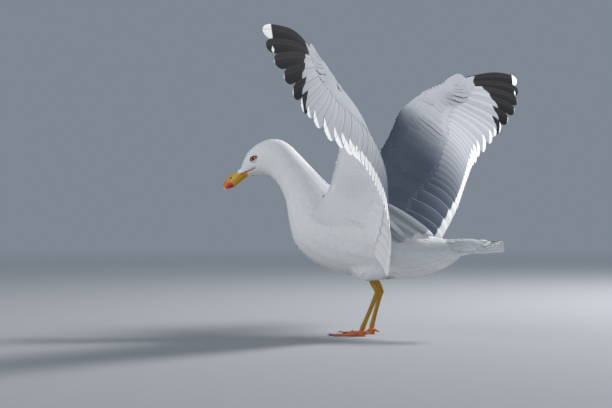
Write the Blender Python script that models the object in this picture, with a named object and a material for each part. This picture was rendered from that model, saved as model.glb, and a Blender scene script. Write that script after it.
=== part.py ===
"""A yellow-legged gull at life size, standing with both wings raised and its bill lowered.

Every named part of the bird is one closed solid: bill, head, neck, trunk and tail, and on each side
the eye, thigh, shank, tarsus, foot, toes' claws and four parts of the wing.

Lengths in the tables are millimetres along the bird's own directions, forward, left and up, from
the floor below the middle of its trunk. The scene is in metres: forward is -Y, left is +X, up is +Z.
"""

import math

import bmesh
import bpy
from mathutils import Vector

MM = 0.001
GAP = 0.3  # between two parts that meet
SIDES = {"left": 1, "right": -1}

# Head, neck and trunk, from the bill's root to the rump. Each station is the point on the back's
# line and the one on the belly's line, both as (forward, up), and the half width between them.
BODY = (
    ((206, 276), (194, 262), 9.5),
    ((200, 290), (187, 263.5), 15),
    ((189, 307.5), (177, 265), 19.5),
    ((168, 321), (164, 265.5), 22.5),
    ((145, 325.5), (152, 263), 24.5),
    ((122, 318.5), (142, 255), 26),
    ((94, 293), (130, 240), 29),
    ((65, 264.5), (119.5, 217), 36),
    ((40, 243), (113.5, 186), 47),
    ((16, 234), (104, 153), 57),
    ((-9, 231), (84, 129), 64),
    ((-34, 226), (50, 110), 67),
    ((-60, 214), (5, 98.5), 67),
    ((-85, 198), (-45, 94.5), 61),
    ((-108, 179), (-92, 94), 51),
    ((-129, 165), (-130, 102), 41),
    ((-148, 161), (-160, 115), 31),
    ((-163, 158), (-181, 130), 22),
)
HEAD_END = 4.6
NECK_END = 7.4
EGG = 0.1  # how much wider the body is below its middle than above

EYE = (173, 16.5, 292)
EYE_RADIUS = 7.6

# The bill, root to tip: its ridge, the cutting edge where the halves meet, and its lower line, each
# as (forward, up), with the half width at the cutting edge.
BILL = (
    ((206.5, 275.5), (200.5, 269), (194.7, 262.3), 8.5),
    ((213, 272), (206.5, 264), (202, 257.5), 7.2),
    ((221, 267.5), (213.5, 258.5), (210, 251.8), 6.3),
    ((229.5, 262.5), (221, 252.5), (218, 246), 5.6),
    ((236.5, 256), (227, 247), (224.5, 243.3), 4.7),
    ((240.3, 249), (231.5, 243.5), (230, 241.8), 3.4),
)
BILL_TIP = (238, 239.3)
BILL_LOWER_TIP = (233.5, 241.6)

# The tail's fan of feathers, from under the rump to the feathers' tips.
TAIL_ROOT = (-172.2, 145)
TAIL_TIP = (-252, 157)
TAIL_FEATHERS = 12
TAIL_HALF_WIDTHS = (19, 30)
TAIL_DROP = 16  # how much lower the outer feathers are than the middle pair
TAIL_HALF_THICKNESSES = (11, 1.1)

# The wing along its feathers, numbered from the innermost tertial out: 20 on the arm, then the ten
# primaries. Each station is a feather's number, the wing's leading edge in line with that feather and
# the feather's tip, both as (forward, left, up).
ARM_FEATHERS = 20
PRIMARIES = 10
FEATHERS = ARM_FEATHERS + PRIMARIES
WING = (
    (0, (50, 60, 204), (-92, 88, 104)),
    (4, (19, 61, 243), (-111, 132, 162)),
    (7, (-4, 86, 284), (-119, 178, 205)),
    (11, (-22, 109, 335), (-119, 212, 235)),
    (15, (-33, 130, 373), (-117, 254, 267)),
    (18, (-38, 160, 387), (-112, 296, 291)),
    (20.5, (-42, 190, 398), (-106, 357, 312)),
    (22.5, (-46, 214, 407), (-105, 437, 338)),
    (24.5, (-50, 240, 413), (-107, 488, 358)),
    (26.5, (-54, 264, 418), (-112, 561, 394)),
    (28.5, (-57, 287, 423), (-106, 608, 433)),
    (30, (-59, 310, 430), (-101, 609, 463)),
)
HAND_LIFT = {"left": -6, "right": 2}  # at the wing's tip
HAND_ROOT, HAND_TIP = 200, 600  # how far left these two are
PRIMARY_BOW = 12  # how far the outer primaries arch towards the leading edge
# By a feather's number, how far the wing bulges towards its upper side, as a share of the chord.
CAMBER = {0: 0.13, 4: 0.145, 8: 0.185, 11: 0.175, 15: 0.12, 19: 0.075, 23: 0.03, 30: 0.03}
COVERED = {"arm": 0.5, "hand": 0.34}  # the fraction of a feather that the coverts hide
FLESH_HALF_THICKNESS = {"arm": 9.5, "hand": 5}
FEATHER_HALF_THICKNESS = (1.3, 0.5)  # where it leaves the coverts and at its tip
NOTCHES = {"arm": 3, "hand": 9}  # how deep the outline is cut between two feathers' tips

# The leg's line from the belly to the toes' joint, on each side, and its radii there.
LEGS = {
    "left": (
        (-42, 28, 87), (-46.5, 28, 80), (-50, 27.5, 73), (-45.5, 27.5, 63), (-32, 27.5, 32), (-23.5, 27.5, 13),
    ),
    "right": (
        (-28, 28, 87), (-32, 28, 80), (-35.5, 27.5, 72), (-33, 27.5, 62), (-24.5, 27.5, 32), (-19.5, 27.5, 13),
    ),
}
LEG_RADII = (4.2, 4, 4.4, 3.3, 3, 3.8)
HEEL = 2  # the station of the leg's line where shank and tarsus meet
THIGH = (-38, 33, 116)
THIGH_RADII = (40, 21, 25)

# The front toes: their angle from straight ahead, positive towards the other foot, and their length.
TOES = ((27, 41), (-1, 54), (-30, 49))
FOOT_RINGS = (1, 0.93, 0.75, 0.5, 0.28, 0.12)  # the rings of points over a foot, as shares of its reach
TOE_HALF_WIDTH = 2.9
TOE_HEIGHTS = (4.6, 3)
WEB_THICKNESS = 1.3
SOLE_RADIUS = 5.2  # behind the toes' joint
KNUCKLE_HEIGHT = 11.6
CLAW_LENGTH = 8
HIND_TOE = 8

MATERIALS = {
    "plumage_white": ((0.86, 0.87, 0.88), 0.8),
    "plumage_grey": ((0.28, 0.31, 0.35), 0.75),
    "flight_feathers": ((0.2, 0.22, 0.25), 0.65),
    "bill_horn": ((0.75, 0.42, 0.02), 0.4),
    "eye_gloss": ((0.6, 0.5, 0.16), 0.08),
    "leg_skin": ((0.5, 0.3, 0.03), 0.55),
    "claw_horn": ((0.05, 0.045, 0.04), 0.45),
}


def at(forward, left, up):
    """The scene's point for lengths along the bird's own directions."""
    return Vector((left * MM, -forward * MM, up * MM))


def blend(a, b, share):
    return tuple(p + (q - p) * share for p, q in zip(a, b))


def smooth(places, values, place):
    """The value at a place, on a smooth curve through the values at increasing places."""
    last = len(places) - 1
    i = max(k for k in range(last) if places[k] <= place or k == 0)
    share = (place - places[i]) / (places[i + 1] - places[i])
    before, after = max(i - 1, 0), min(i + 2, last)
    step = places[i + 1] - places[i]
    out = []
    for a, b, c, d in zip(values[before], values[i], values[i + 1], values[after]):
        slope_b = (c - a) / (places[i + 1] - places[before]) * step
        slope_c = (d - b) / (places[after] - places[i]) * step
        rest = 3 * (c - b) - 2 * slope_b - slope_c
        out.append(b + share * (slope_b + share * (rest + share * (slope_b + slope_c - 2 * (c - b)))))
    return tuple(out)


def material(name):
    colour, roughness = MATERIALS[name]
    made = bpy.data.materials.new(name)
    made.use_nodes = True
    surface = made.node_tree.nodes["Principled BSDF"]
    surface.inputs["Base Color"].default_value = (*colour, 1)
    surface.inputs["Roughness"].default_value = roughness
    surface.inputs["Metallic"].default_value = 0
    return made


def add_object(name, form, slot):
    """The bmesh form as a named object, with its faces outwards and smooth."""
    bmesh.ops.recalc_face_normals(form, faces=form.faces)
    mesh = bpy.data.meshes.new(name)
    form.to_mesh(mesh)
    form.free()
    mesh.shade_smooth()
    mesh.materials.append(bpy.data.materials[slot])
    made = bpy.data.objects.new(name, mesh)
    bpy.context.scene.collection.objects.link(made)
    made.parent = bpy.data.objects["gull"]
    return made


def loft(name, rings, slot):
    """A closed solid through rings of as many points each, the first and last ones filled."""
    form = bmesh.new()
    loops = [[form.verts.new(point) for point in ring] for ring in rings]
    for ring, following in zip(loops, loops[1:]):
        for k in range(len(ring)):
            form.faces.new((ring[k - 1], ring[k], following[k], following[k - 1]))
    form.faces.new(loops[0])
    form.faces.new(loops[-1][::-1])
    return add_object(name, form, slot)


def cut(part, cutter, grown):
    """Takes the cutter, grown outwards by some millimetres, out of the part."""
    tool = cutter.copy()
    tool.data = cutter.data.copy()
    tool.name = f"cutter_{cutter.name}_of_{part.name}"
    tool.modifiers.clear()
    for vertex in tool.data.vertices:
        vertex.co += vertex.normal * grown * MM
    bpy.context.scene.collection.objects.link(tool)
    tool.hide_render = True
    tool.display_type = "WIRE"
    boolean = part.modifiers.new(f"clear_of_{cutter.name}", "BOOLEAN")
    boolean.operation = "DIFFERENCE"
    boolean.solver = "EXACT"
    boolean.object = tool


def body_ring(station, points=20):
    """The body's outline round one station, in the plane of its back and belly points."""
    places = range(len(BODY))
    top_forward, top_up, low_forward, low_up, half_width = smooth(
        places, [(*top, *low, width) for top, low, width in BODY], station
    )
    ring = []
    for k in range(points):
        angle = 2 * math.pi * k / points
        share = (1 + math.sin(angle)) / 2
        forward, up = blend((low_forward, low_up), (top_forward, top_up), share)
        left = half_width * math.cos(angle) * (1 - EGG * math.sin(angle))
        ring.append(at(forward, left, up))
    return ring


def body_part(name, start, end, rings):
    step = (end - start) / rings
    return loft(name, [body_ring(start + step * k) for k in range(rings + 1)], "plumage_white")


def make_body():
    clear = 0.013  # of a station, which leaves the gap
    head = body_part("head", 0, HEAD_END - clear, 12)
    body_part("neck", HEAD_END + clear, NECK_END - clear, 7)
    trunk = body_part("trunk", NECK_END + clear, len(BODY) - 1, 18)
    return head, trunk


def make_bill():
    places = range(len(BILL))
    values = [(*ridge, *edge, *low, width) for ridge, edge, low, width in BILL]
    upper, lower = [], []
    for k in range(11):
        ridge_f, ridge_u, edge_f, edge_u, low_f, low_u, width = smooth(places, values, k / 2)
        ridge, edge, low = (ridge_f, ridge_u), (edge_f, edge_u), (low_f, low_u)
        above, below = [], []
        for step in range(9):
            turn = math.pi * step / 8
            rise, side = math.sin(turn), math.cos(turn) * width
            forward, up = blend(edge, ridge, rise)
            above.append(at(forward, side, up + GAP / 2))
            forward, up = blend(edge, low, rise)
            below.append(at(forward, side * 0.92, up - GAP / 2))
        upper.append(above)
        lower.append(below)
    tip = [at(BILL_TIP[0], 0, BILL_TIP[1])]
    upper.append([tip[0].lerp(point, 0.12) for point in upper[-1]])
    tip = at(BILL_LOWER_TIP[0], 0, BILL_LOWER_TIP[1])
    lower[-1] = [tip.lerp(point, 0.35) for point in lower[-1]]
    loft("bill_upper", upper, "bill_horn")
    loft("bill_lower", lower, "bill_horn")


def make_eye(side, head):
    forward, left, up = EYE
    form = bmesh.new()
    bmesh.ops.create_uvsphere(form, u_segments=16, v_segments=8, radius=EYE_RADIUS * MM)
    bmesh.ops.translate(form, vec=at(forward, left * SIDES[side], up), verts=form.verts)
    eye = add_object(f"eye_{side}", form, "eye_gloss")
    cut(head, eye, GAP)


def make_tail():
    """A roof of feathers, each tip rounded, with the outer ones lower."""
    (back, rump), (vent, under), _ = BODY[-1]
    slant = (back - vent) / (rump - under)
    rings = []
    steps = 2
    for k in range(TAIL_FEATHERS * steps + 1):
        across = 2 * k / (TAIL_FEATHERS * steps) - 1
        notch = 5 * abs(2 * (k / steps % 1) - 1) ** 2 + 5 * across**2
        upper, lower = [], []
        for along in (0, 0.3, 0.6, 0.85, 1):
            forward, up = blend(TAIL_ROOT, TAIL_TIP, along)
            width = TAIL_HALF_WIDTHS[0] + (TAIL_HALF_WIDTHS[1] - TAIL_HALF_WIDTHS[0]) * along
            forward += notch * along
            up -= TAIL_DROP * abs(across) ** 1.6 * math.sqrt(along)
            root, tip = TAIL_HALF_THICKNESSES
            half = tip + (root - tip) * (1 - along) ** 1.5 * (1 - 0.8 * abs(across) ** 3)
            for line, height in ((upper, up + half), (lower, up - half)):
                lean = slant * (height - TAIL_ROOT[1]) * (1 - along)
                line.append(at(forward + lean, width * across, height))
        rings.append(upper + lower[::-1])
    loft("tail", rings, "plumage_white")


def wing_line(number):
    """The leading edge and the tip in line with a feather, on the left wing."""
    numbers = [station[0] for station in WING]
    values = [(*edge, *tip) for _, edge, tip in WING]
    line = smooth(numbers, values, number)
    return Vector(line[:3]), Vector(line[3:])


def eased(arm, hand, number):
    """From the arm's value to the hand's, easing over the feathers nearest to the wrist."""
    share = min(max((number - ARM_FEATHERS + 3) / 6, 0), 1)
    return arm + (hand - arm) * share


def wing_point(number, along, side):
    """The wing's middle surface: a feather's number, and 0 at the leading edge to 1 at the tip."""
    edge, tip = wing_line(number)
    point = edge.lerp(tip, along)
    outer = max(0, (number - ARM_FEATHERS) / PRIMARIES)
    point.z += HAND_LIFT[side] * max(0, (point.y - HAND_ROOT) / (HAND_TIP - HAND_ROOT))
    point.z += PRIMARY_BOW * outer**2 * 4 * along * (1 - along)
    return point


def wing_normal(number, along, side):
    """The direction of the wing's upper side."""
    step = 0.25
    span = (
        wing_point(min(number + step, FEATHERS), along, side)
        - wing_point(max(number - step, 0), along, side)
    )
    edge, tip = wing_line(number)
    return span.cross(tip - edge).normalized()


def wing_section(number, alongs, half_thickness, side, length=1.0):
    """The outline round the wing at one feather's number: back along its upper side, then forward."""
    edge, tip = wing_line(number)
    chord = (tip - edge).length
    upper, lower = [], []
    for along in alongs:
        reach = along * length
        point = wing_point(number, reach, side)
        normal = wing_normal(number, max(reach, 0.15), side)
        bulge = smooth(tuple(CAMBER), [(share,) for share in CAMBER.values()], number)[0]
        bulge *= math.sin(math.pi * reach**1.3)
        point += normal * chord * bulge
        half = half_thickness(along)
        upper.append(point + normal * half)
        lower.append(point - normal * half)
    return [at(p.x, p.y * SIDES[side], p.z) for p in upper + lower[::-1]]


def flesh_half_thickness(most, covered):
    """Thickest a fifth of the way back to the coverts' end, round in front and thin behind."""
    thin = FEATHER_HALF_THICKNESS[0]

    def half(along):
        share = along / covered
        if share < 0.2:
            return 0.4 + (most - 0.4) * math.sqrt(share / 0.2)
        return thin + (most - thin) * (0.5 + 0.5 * math.cos(math.pi * (share - 0.2) / 0.8))

    return half


def make_wing_flesh(name, start, end, rings, side, slot):
    sections = []
    for k in range(rings + 1):
        number = start + (end - start) * k / rings
        chord = (wing_line(number)[1] - wing_line(number)[0]).length
        covered = eased(COVERED["arm"], COVERED["hand"], number) - GAP / chord
        most = eased(FLESH_HALF_THICKNESS["arm"], FLESH_HALF_THICKNESS["hand"], number)
        alongs = [covered * part for part in (0, 0.03, 0.1, 0.22, 0.45, 0.72, 1)]
        half = flesh_half_thickness(most, covered)
        sections.append(wing_section(number, alongs, half, side))
    return loft(f"{name}_{side}", sections, slot)


def make_feathers(name, start, end, side, slot):
    """Feathers side by side as one sheet, whose edge is cut in between their tips."""
    shape = (0, 0.5) if start < ARM_FEATHERS else (0, 0.25, 0.75)
    numbers = [k + part for k in range(start, end) for part in shape] + [end]
    numbers[0] += 0.01
    numbers[-1] -= 0.01
    sections = []
    for number in numbers:
        edge, tip = wing_line(number)
        chord = (tip - edge).length
        between = abs(2 * (number % 1) - 1) ** 1.7
        notch = eased(NOTCHES["arm"], NOTCHES["hand"], number) * between
        if start == ARM_FEATHERS:
            notch *= 0.35 + 0.65 * (number - start) / PRIMARIES
        if number > FEATHERS - 0.5:
            notch *= 2
        length = 1 - notch / chord
        covered = eased(COVERED["arm"], COVERED["hand"], number)
        first = (covered + GAP / chord) / length
        alongs = [first + (1 - first) * part for part in (0, 0.4, 0.8, 1)]
        thick, thin = FEATHER_HALF_THICKNESS

        def half(along):
            return thick + (thin - thick) * (along - first) / (1 - first)

        sections.append(wing_section(number, alongs, half, side, length))
    return loft(f"{name}_{side}", sections, slot)


def make_wing(side, trunk):
    clear = 0.02
    arm = make_wing_flesh("wing_arm", 0, ARM_FEATHERS - clear, ARM_FEATHERS, side, "plumage_grey")
    cut(arm, trunk, GAP)
    make_wing_flesh("wing_hand", ARM_FEATHERS + clear, FEATHERS, PRIMARIES, side, "plumage_grey")
    inner = make_feathers("secondaries", 0, ARM_FEATHERS, side, "plumage_grey")
    cut(inner, trunk, GAP)
    make_feathers("primaries", ARM_FEATHERS, FEATHERS, side, "flight_feathers")


def tube_ring(points, radii, place, tilt, sides=12):
    """A ring across a bent tube, square to its line."""
    places = range(len(points))
    centre = Vector(smooth(places, points, place))
    step = 0.05
    before = Vector(smooth(places, points, max(place - step, 0)))
    after = Vector(smooth(places, points, min(place + step, places[-1])))
    along = (after - before).normalized()
    across = Vector((0, 1, 0))
    out = along.cross(across).normalized()
    radius = smooth(places, [(r,) for r in radii], place)[0]
    ring = []
    for k in range(sides):
        turn = 2 * math.pi * k / sides
        ring.append(centre + (across * math.cos(turn) + out * math.sin(turn) * tilt) * radius)
    return ring


def make_leg(side, trunk):
    sign = SIDES[side]
    line = [(f, l * sign, u) for f, l, u in LEGS[side]]
    last = len(line) - 1
    spans = {"shank": (0, HEEL - 0.02, 4), "tarsus": (HEEL + 0.02, last, 10)}
    for name, (start, end, count) in spans.items():
        rings = []
        for k in range(count + 1):
            ring = tube_ring(line, LEG_RADII, start + (end - start) * k / count, 1.15)
            rings.append([at(*point) for point in ring])
        loft(f"{name}_{side}", rings, "leg_skin")
    form = bmesh.new()
    bmesh.ops.create_uvsphere(form, u_segments=16, v_segments=10, radius=1)
    forward, left, up = THIGH_RADII
    bmesh.ops.scale(form, vec=Vector((left, forward, up)) * MM, verts=form.verts)
    bmesh.ops.translate(form, vec=at(THIGH[0], THIGH[1] * sign, THIGH[2]), verts=form.verts)
    cut(add_object(f"thigh_{side}", form, "plumage_white"), trunk, GAP)


def make_foot(side):
    """Three toes joined by webs, flat below, under the toes' joint."""
    sign = SIDES[side]
    centre_forward, centre_left, _ = LEGS[side][-1]
    angles = [-180, -140, -105, -75, -52]
    for turn, _ in TOES[::-1]:
        angles += [turn + part for part in (-9, -4, 0, 4, 9)]
    angles += [40, 52, 75, 105, 140]
    angles = sorted(set(angles))
    rings = []
    for number, share in enumerate((1, *FOOT_RINGS)):
        ring = []
        for angle in angles:
            reach = foot_reach(angle) * share
            up = foot_height(angle, reach) if number else 0
            forward = centre_forward + reach * math.cos(math.radians(angle))
            left = centre_left - reach * math.sin(math.radians(angle))
            ring.append(at(forward, left * sign, up))
        rings.append(ring)
    loft(f"foot_{side}", rings, "leg_skin")


def foot_reach(angle):
    """From the toes' joint to the foot's edge: toes, the webs' hollow edges and the heel."""
    inner, outer = TOES[0][0], TOES[-1][0]
    for turn, length in TOES:
        if abs(angle - turn) < 3:
            return length
    if angle > inner or angle < outer:
        beyond = angle - inner if angle > inner else outer - angle
        return SOLE_RADIUS + (TOES[0][1] * 0.8 - SOLE_RADIUS) * max(0, 1 - beyond / 12) ** 2
    for (turn_a, length_a), (turn_b, length_b) in zip(TOES, TOES[1:]):
        if turn_b <= angle <= turn_a:
            share = (turn_a - angle) / (turn_a - turn_b)
            return (length_a + (length_b - length_a) * share) * (0.97 - 0.17 * math.sin(math.pi * share))
    return SOLE_RADIUS


def foot_height(angle, reach):
    height = WEB_THICKNESS
    for turn, length in TOES:
        aside = abs(reach * math.sin(math.radians(angle - turn)))
        if abs(angle - turn) < 90 and aside < TOE_HALF_WIDTH:
            share = min(reach / length, 1)
            ridge = TOE_HEIGHTS[0] + (TOE_HEIGHTS[1] - TOE_HEIGHTS[0]) * share
            height = max(height, ridge * math.sqrt(1 - (aside / TOE_HALF_WIDTH) ** 2))
    return height + (KNUCKLE_HEIGHT - height) * math.exp(-((reach / 6) ** 4))


def make_claws(side):
    """A curved claw before each front toe, and the small raised hind toe."""
    sign = SIDES[side]
    centre_forward, centre_left, _ = LEGS[side][-1]
    for number, (turn, length) in enumerate(TOES, 2):
        ahead = Vector((math.cos(math.radians(turn)), -math.sin(math.radians(turn)) * sign))
        across = Vector((-ahead.y, ahead.x))
        rings = []
        for share, up, half in ((0, 2.3, 1.25), (0.35, 2.4, 1.0), (0.7, 1.9, 0.7), (1, 1, 0.2)):
            reach = length + GAP + CLAW_LENGTH * share
            ring = []
            for k in range(6):
                angle = 2 * math.pi * k / 6
                spot = ahead * reach + across * half * math.cos(angle)
                left = centre_left * sign + spot.y
                ring.append(at(centre_forward + spot.x, left, up + half * math.sin(angle)))
            rings.append(ring)
        loft(f"claw_{side}_{number}", rings, "claw_horn")
    rings = []
    for share, half in ((0, 1.9), (0.5, 1.7), (1, 0.5)):
        ring = []
        for k in range(8):
            angle = 2 * math.pi * k / 8
            back = centre_forward - SOLE_RADIUS - GAP - HIND_TOE * share
            left = centre_left * sign + half * math.cos(angle)
            ring.append(at(back, left, 7.5 - 3.5 * share + half * math.sin(angle)))
        rings.append(ring)
    loft(f"hind_toe_{side}", rings, "leg_skin")


def move_origin():
    """Puts the origin on the floor, below the middle of the whole bird's box."""
    bpy.context.view_layer.update()
    graph = bpy.context.evaluated_depsgraph_get()
    gull = bpy.data.objects["gull"]
    corners = []
    for part in gull.children:
        solid = part.evaluated_get(graph)
        corners += [solid.matrix_world @ Vector(corner) for corner in solid.bound_box]
    middle = [(min(c[k] for c in corners) + max(c[k] for c in corners)) / 2 for k in range(2)]
    gull.location = (-middle[0], -middle[1], 0)


def main():
    for leftover in list(bpy.data.objects):
        bpy.data.objects.remove(leftover)
    bpy.context.scene.collection.objects.link(bpy.data.objects.new("gull", None))
    for name in MATERIALS:
        material(name)
    head, trunk = make_body()
    make_bill()
    make_tail()
    for side in SIDES:
        make_eye(side, head)
        make_wing(side, trunk)
        make_leg(side, trunk)
        make_foot(side)
        make_claws(side)
    move_origin()


main()
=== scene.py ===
"""The looks of a yellow-legged gull at life size, standing with both wings raised.

A skin, one surface over head, neck, trunk, thighs and wings, lies under a coat of mesh feathers.
Small feathers are vanes scattered over the skin along the lie of the plumage. The wings' coverts,
secondaries and primaries, and the tail's feathers, are set one by one in their rows.

Lengths in the tables are millimetres along the bird's own directions, forward, left and up.
"""

import functools
import itertools
import math

import bmesh
import bpy
import numpy as np
from mathutils import Matrix, Vector
from mathutils.bvhtree import BVHTree
from mathutils.kdtree import KDTree


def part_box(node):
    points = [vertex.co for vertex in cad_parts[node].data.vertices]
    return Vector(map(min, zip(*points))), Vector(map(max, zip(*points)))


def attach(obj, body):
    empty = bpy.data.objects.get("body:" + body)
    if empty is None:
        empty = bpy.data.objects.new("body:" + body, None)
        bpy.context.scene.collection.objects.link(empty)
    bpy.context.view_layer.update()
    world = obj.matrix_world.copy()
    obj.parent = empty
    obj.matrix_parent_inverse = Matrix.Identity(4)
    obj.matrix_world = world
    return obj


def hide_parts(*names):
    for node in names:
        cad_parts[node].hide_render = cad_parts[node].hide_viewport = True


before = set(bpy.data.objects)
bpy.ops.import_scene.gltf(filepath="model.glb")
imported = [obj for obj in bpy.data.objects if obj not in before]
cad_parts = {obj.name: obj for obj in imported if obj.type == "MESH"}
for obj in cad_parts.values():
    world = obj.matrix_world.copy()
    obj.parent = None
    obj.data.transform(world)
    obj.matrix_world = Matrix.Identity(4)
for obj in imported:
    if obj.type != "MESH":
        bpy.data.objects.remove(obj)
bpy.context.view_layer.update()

CHANCE = np.random.default_rng(7)
MM = 0.001
SIDES = {"left": 1, "right": -1}

# The eye's centre, which also says where the frame's origin is along the bird.
EYE = np.array((173, 16.5, 292))
EYE_RADIUS = 7.6
EYE_LOW, EYE_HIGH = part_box("eye_left")
ORIGIN_Y = (EYE_LOW.y + EYE_HIGH.y) / 2 + EYE[0] * MM

# Head, neck and trunk: the back's line and the belly's line, each as (forward, up).
BODY = (
    ((206, 276), (194, 262)),
    ((200, 290), (187, 263.5)),
    ((189, 307.5), (177, 265)),
    ((168, 321), (164, 265.5)),
    ((145, 325.5), (152, 263)),
    ((122, 318.5), (142, 255)),
    ((94, 293), (130, 240)),
    ((65, 264.5), (119.5, 217)),
    ((40, 243), (113.5, 186)),
    ((16, 234), (104, 153)),
    ((-9, 231), (84, 129)),
    ((-34, 226), (50, 110)),
    ((-60, 214), (5, 98.5)),
    ((-85, 198), (-45, 94.5)),
    ((-108, 179), (-92, 94)),
    ((-129, 165), (-130, 102)),
    ((-148, 161), (-160, 115)),
    ((-163, 158), (-181, 130)),
)
HEAD_END = 4.6
NECK_END = 7.4

# The bill, root to tip: ridge, cutting edge and lower line, and the half width at the cutting edge.
BILL = (
    ((206.5, 275.5), (200.5, 269), (194.7, 262.3), 8.5),
    ((213, 272), (206.5, 264), (202, 257.5), 7.2),
    ((221, 267.5), (213.5, 258.5), (210, 251.8), 6.3),
    ((229.5, 262.5), (221, 252.5), (218, 246), 5.6),
    ((236.5, 256), (227, 247), (224.5, 243.3), 4.7),
    ((240.3, 249), (231.5, 243.5), (230, 241.8), 3.4),
)
BILL_TIP = (238, 239.3)
BILL_LOWER_TIP = (233.5, 241.6)

# The tail's fan, from under the rump to the feathers' tips.
TAIL_ROOT = (-172.2, 145)
TAIL_TIP = (-252, 157)
TAIL_FEATHERS = 12
TAIL_HALF_WIDTHS = (19, 30)
TAIL_DROP = 16

# The wing along its feathers, numbered from the innermost tertial out: the leading edge in line with
# a feather, and that feather's tip.
ARM_FEATHERS = 20
PRIMARIES = 10
FEATHERS = ARM_FEATHERS + PRIMARIES
WING = (
    (0, (50, 60, 204), (-92, 88, 104)),
    (4, (19, 61, 243), (-111, 132, 162)),
    (7, (-4, 86, 284), (-119, 178, 205)),
    (11, (-22, 109, 335), (-119, 212, 235)),
    (15, (-33, 130, 373), (-117, 254, 267)),
    (18, (-38, 160, 387), (-112, 296, 291)),
    (20.5, (-42, 190, 398), (-106, 357, 312)),
    (22.5, (-46, 214, 407), (-105, 437, 338)),
    (24.5, (-50, 240, 413), (-107, 488, 358)),
    (26.5, (-54, 264, 418), (-112, 561, 394)),
    (28.5, (-57, 287, 423), (-106, 608, 433)),
    (30, (-59, 310, 430), (-101, 609, 463)),
)
HAND_LIFT = {"left": -6, "right": 2}
HAND_ROOT, HAND_TIP = 200, 600
PRIMARY_BOW = 12
# By a feather's number, how far the wing bulges towards its upper side, as a share of the chord.
CAMBER = {0: 0.13, 4: 0.145, 8: 0.185, 11: 0.175, 15: 0.12, 19: 0.075, 23: 0.03, 30: 0.03}
COVERED = {"arm": 0.5, "hand": 0.34}
FLESH_HALF_THICKNESS = {"arm": 9.5, "hand": 5}
BLADE_HALF_THICKNESS = 1.3

# Where the black begins on each primary, innermost first, as a share of its length. Over 1: none.
BLACK_FROM = (2, 2, 2, 2, 0.88, 0.77, 0.65, 0.51, 0.33, 0.13)
WHITE_TIPS = (15, 15, 14, 12, 8, 3, 2, 1.5, 0, 31)  # their white tips, in mm
TONGUES = (0, 0, 0, 0, 10, 18, 20, 18, 12, 8)  # how far grey runs into the black on the inner web, in mm

NOWHERE = 9999.0  # further along than any vane goes, in mm

THICKNESS = 0.35  # of a vane, in mm
BODY_THICKNESS = 0.16  # of the body's small feathers, in mm


# ---------------------------------------------------------------- places

def rows(points):
    """Places in the frame, in metres, of (forward, left, up) in millimetres."""
    points = np.asarray(points, float)
    return np.stack(
        (points[..., 1] * MM, ORIGIN_Y - points[..., 0] * MM, points[..., 2] * MM), axis=-1
    )


def turned(directions):
    """Directions in the frame for (forward, left, up)."""
    directions = np.asarray(directions, float)
    return np.stack((directions[..., 1], -directions[..., 0], directions[..., 2]), axis=-1)


def bird(points):
    """(forward, left, up) in millimetres of places in the frame."""
    points = np.asarray(points, float)
    return np.stack((ORIGIN_Y - points[..., 1], points[..., 0], points[..., 2]), axis=-1) / MM


def unit(vectors):
    length = np.linalg.norm(vectors, axis=-1, keepdims=True)
    return vectors / np.maximum(length, 1e-12)


def eased(low, high, value):
    """0 below low, 1 above high, and a smooth rise between them."""
    share = np.clip((np.asarray(value, float) - low) / (high - low), 0, 1)
    return share * share * (3 - 2 * share)


def smooth(places, values, place):
    """The value at a place, on a smooth curve through the values at increasing places."""
    last = len(places) - 1
    i = max(k for k in range(last) if places[k] <= place or k == 0)
    step = places[i + 1] - places[i]
    share = (place - places[i]) / step
    before, after = max(i - 1, 0), min(i + 2, last)
    a, b, c, d = (np.asarray(values[k], float) for k in (before, i, i + 1, after))
    slope_b = (c - a) / (places[i + 1] - places[before]) * step
    slope_c = (d - b) / (places[after] - places[i]) * step
    rest = 3 * (c - b) - 2 * slope_b - slope_c
    return b + share * (slope_b + share * (rest + share * (slope_b + slope_c - 2 * (c - b))))


# ---------------------------------------------------------------- meshes

def finish_piece(piece, finish, nodes=()):
    """Gives a piece its finish, hangs it under the root, and hides the CAD nodes it stands for."""
    piece.data.materials.clear()
    piece.data.materials.append(finish)
    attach(piece, "root")
    if nodes:
        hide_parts(*nodes)


def add_piece(name, mesh, finish, nodes=()):
    piece = bpy.data.objects.new(name, mesh)
    bpy.context.scene.collection.objects.link(piece)
    finish_piece(piece, finish, nodes)


def mark_points(mesh, marks):
    """Sets numbers at a mesh's points, each lot under its title."""
    for title, values in marks.items():
        layer = mesh.attributes.new(title, "FLOAT", "POINT")
        layer.data.foreach_set("value", np.ascontiguousarray(values, np.float32).ravel())


def add_shell(name, finish, points, faces, marks, nodes=(), sharp=None):
    """A smooth piece from places in the frame and its faces, which are turned outwards."""
    mesh = bpy.data.meshes.new(name)
    mesh.from_pydata([tuple(point) for point in points], [], faces)
    form = bmesh.new()
    form.from_mesh(mesh)
    bmesh.ops.recalc_face_normals(form, faces=form.faces)
    form.to_mesh(mesh)
    form.free()
    mesh.shade_smooth()
    if sharp:
        mesh.set_sharp_from_angle(angle=sharp)
    mark_points(mesh, marks)
    add_piece(name, mesh, finish, nodes)
    return mesh


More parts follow.
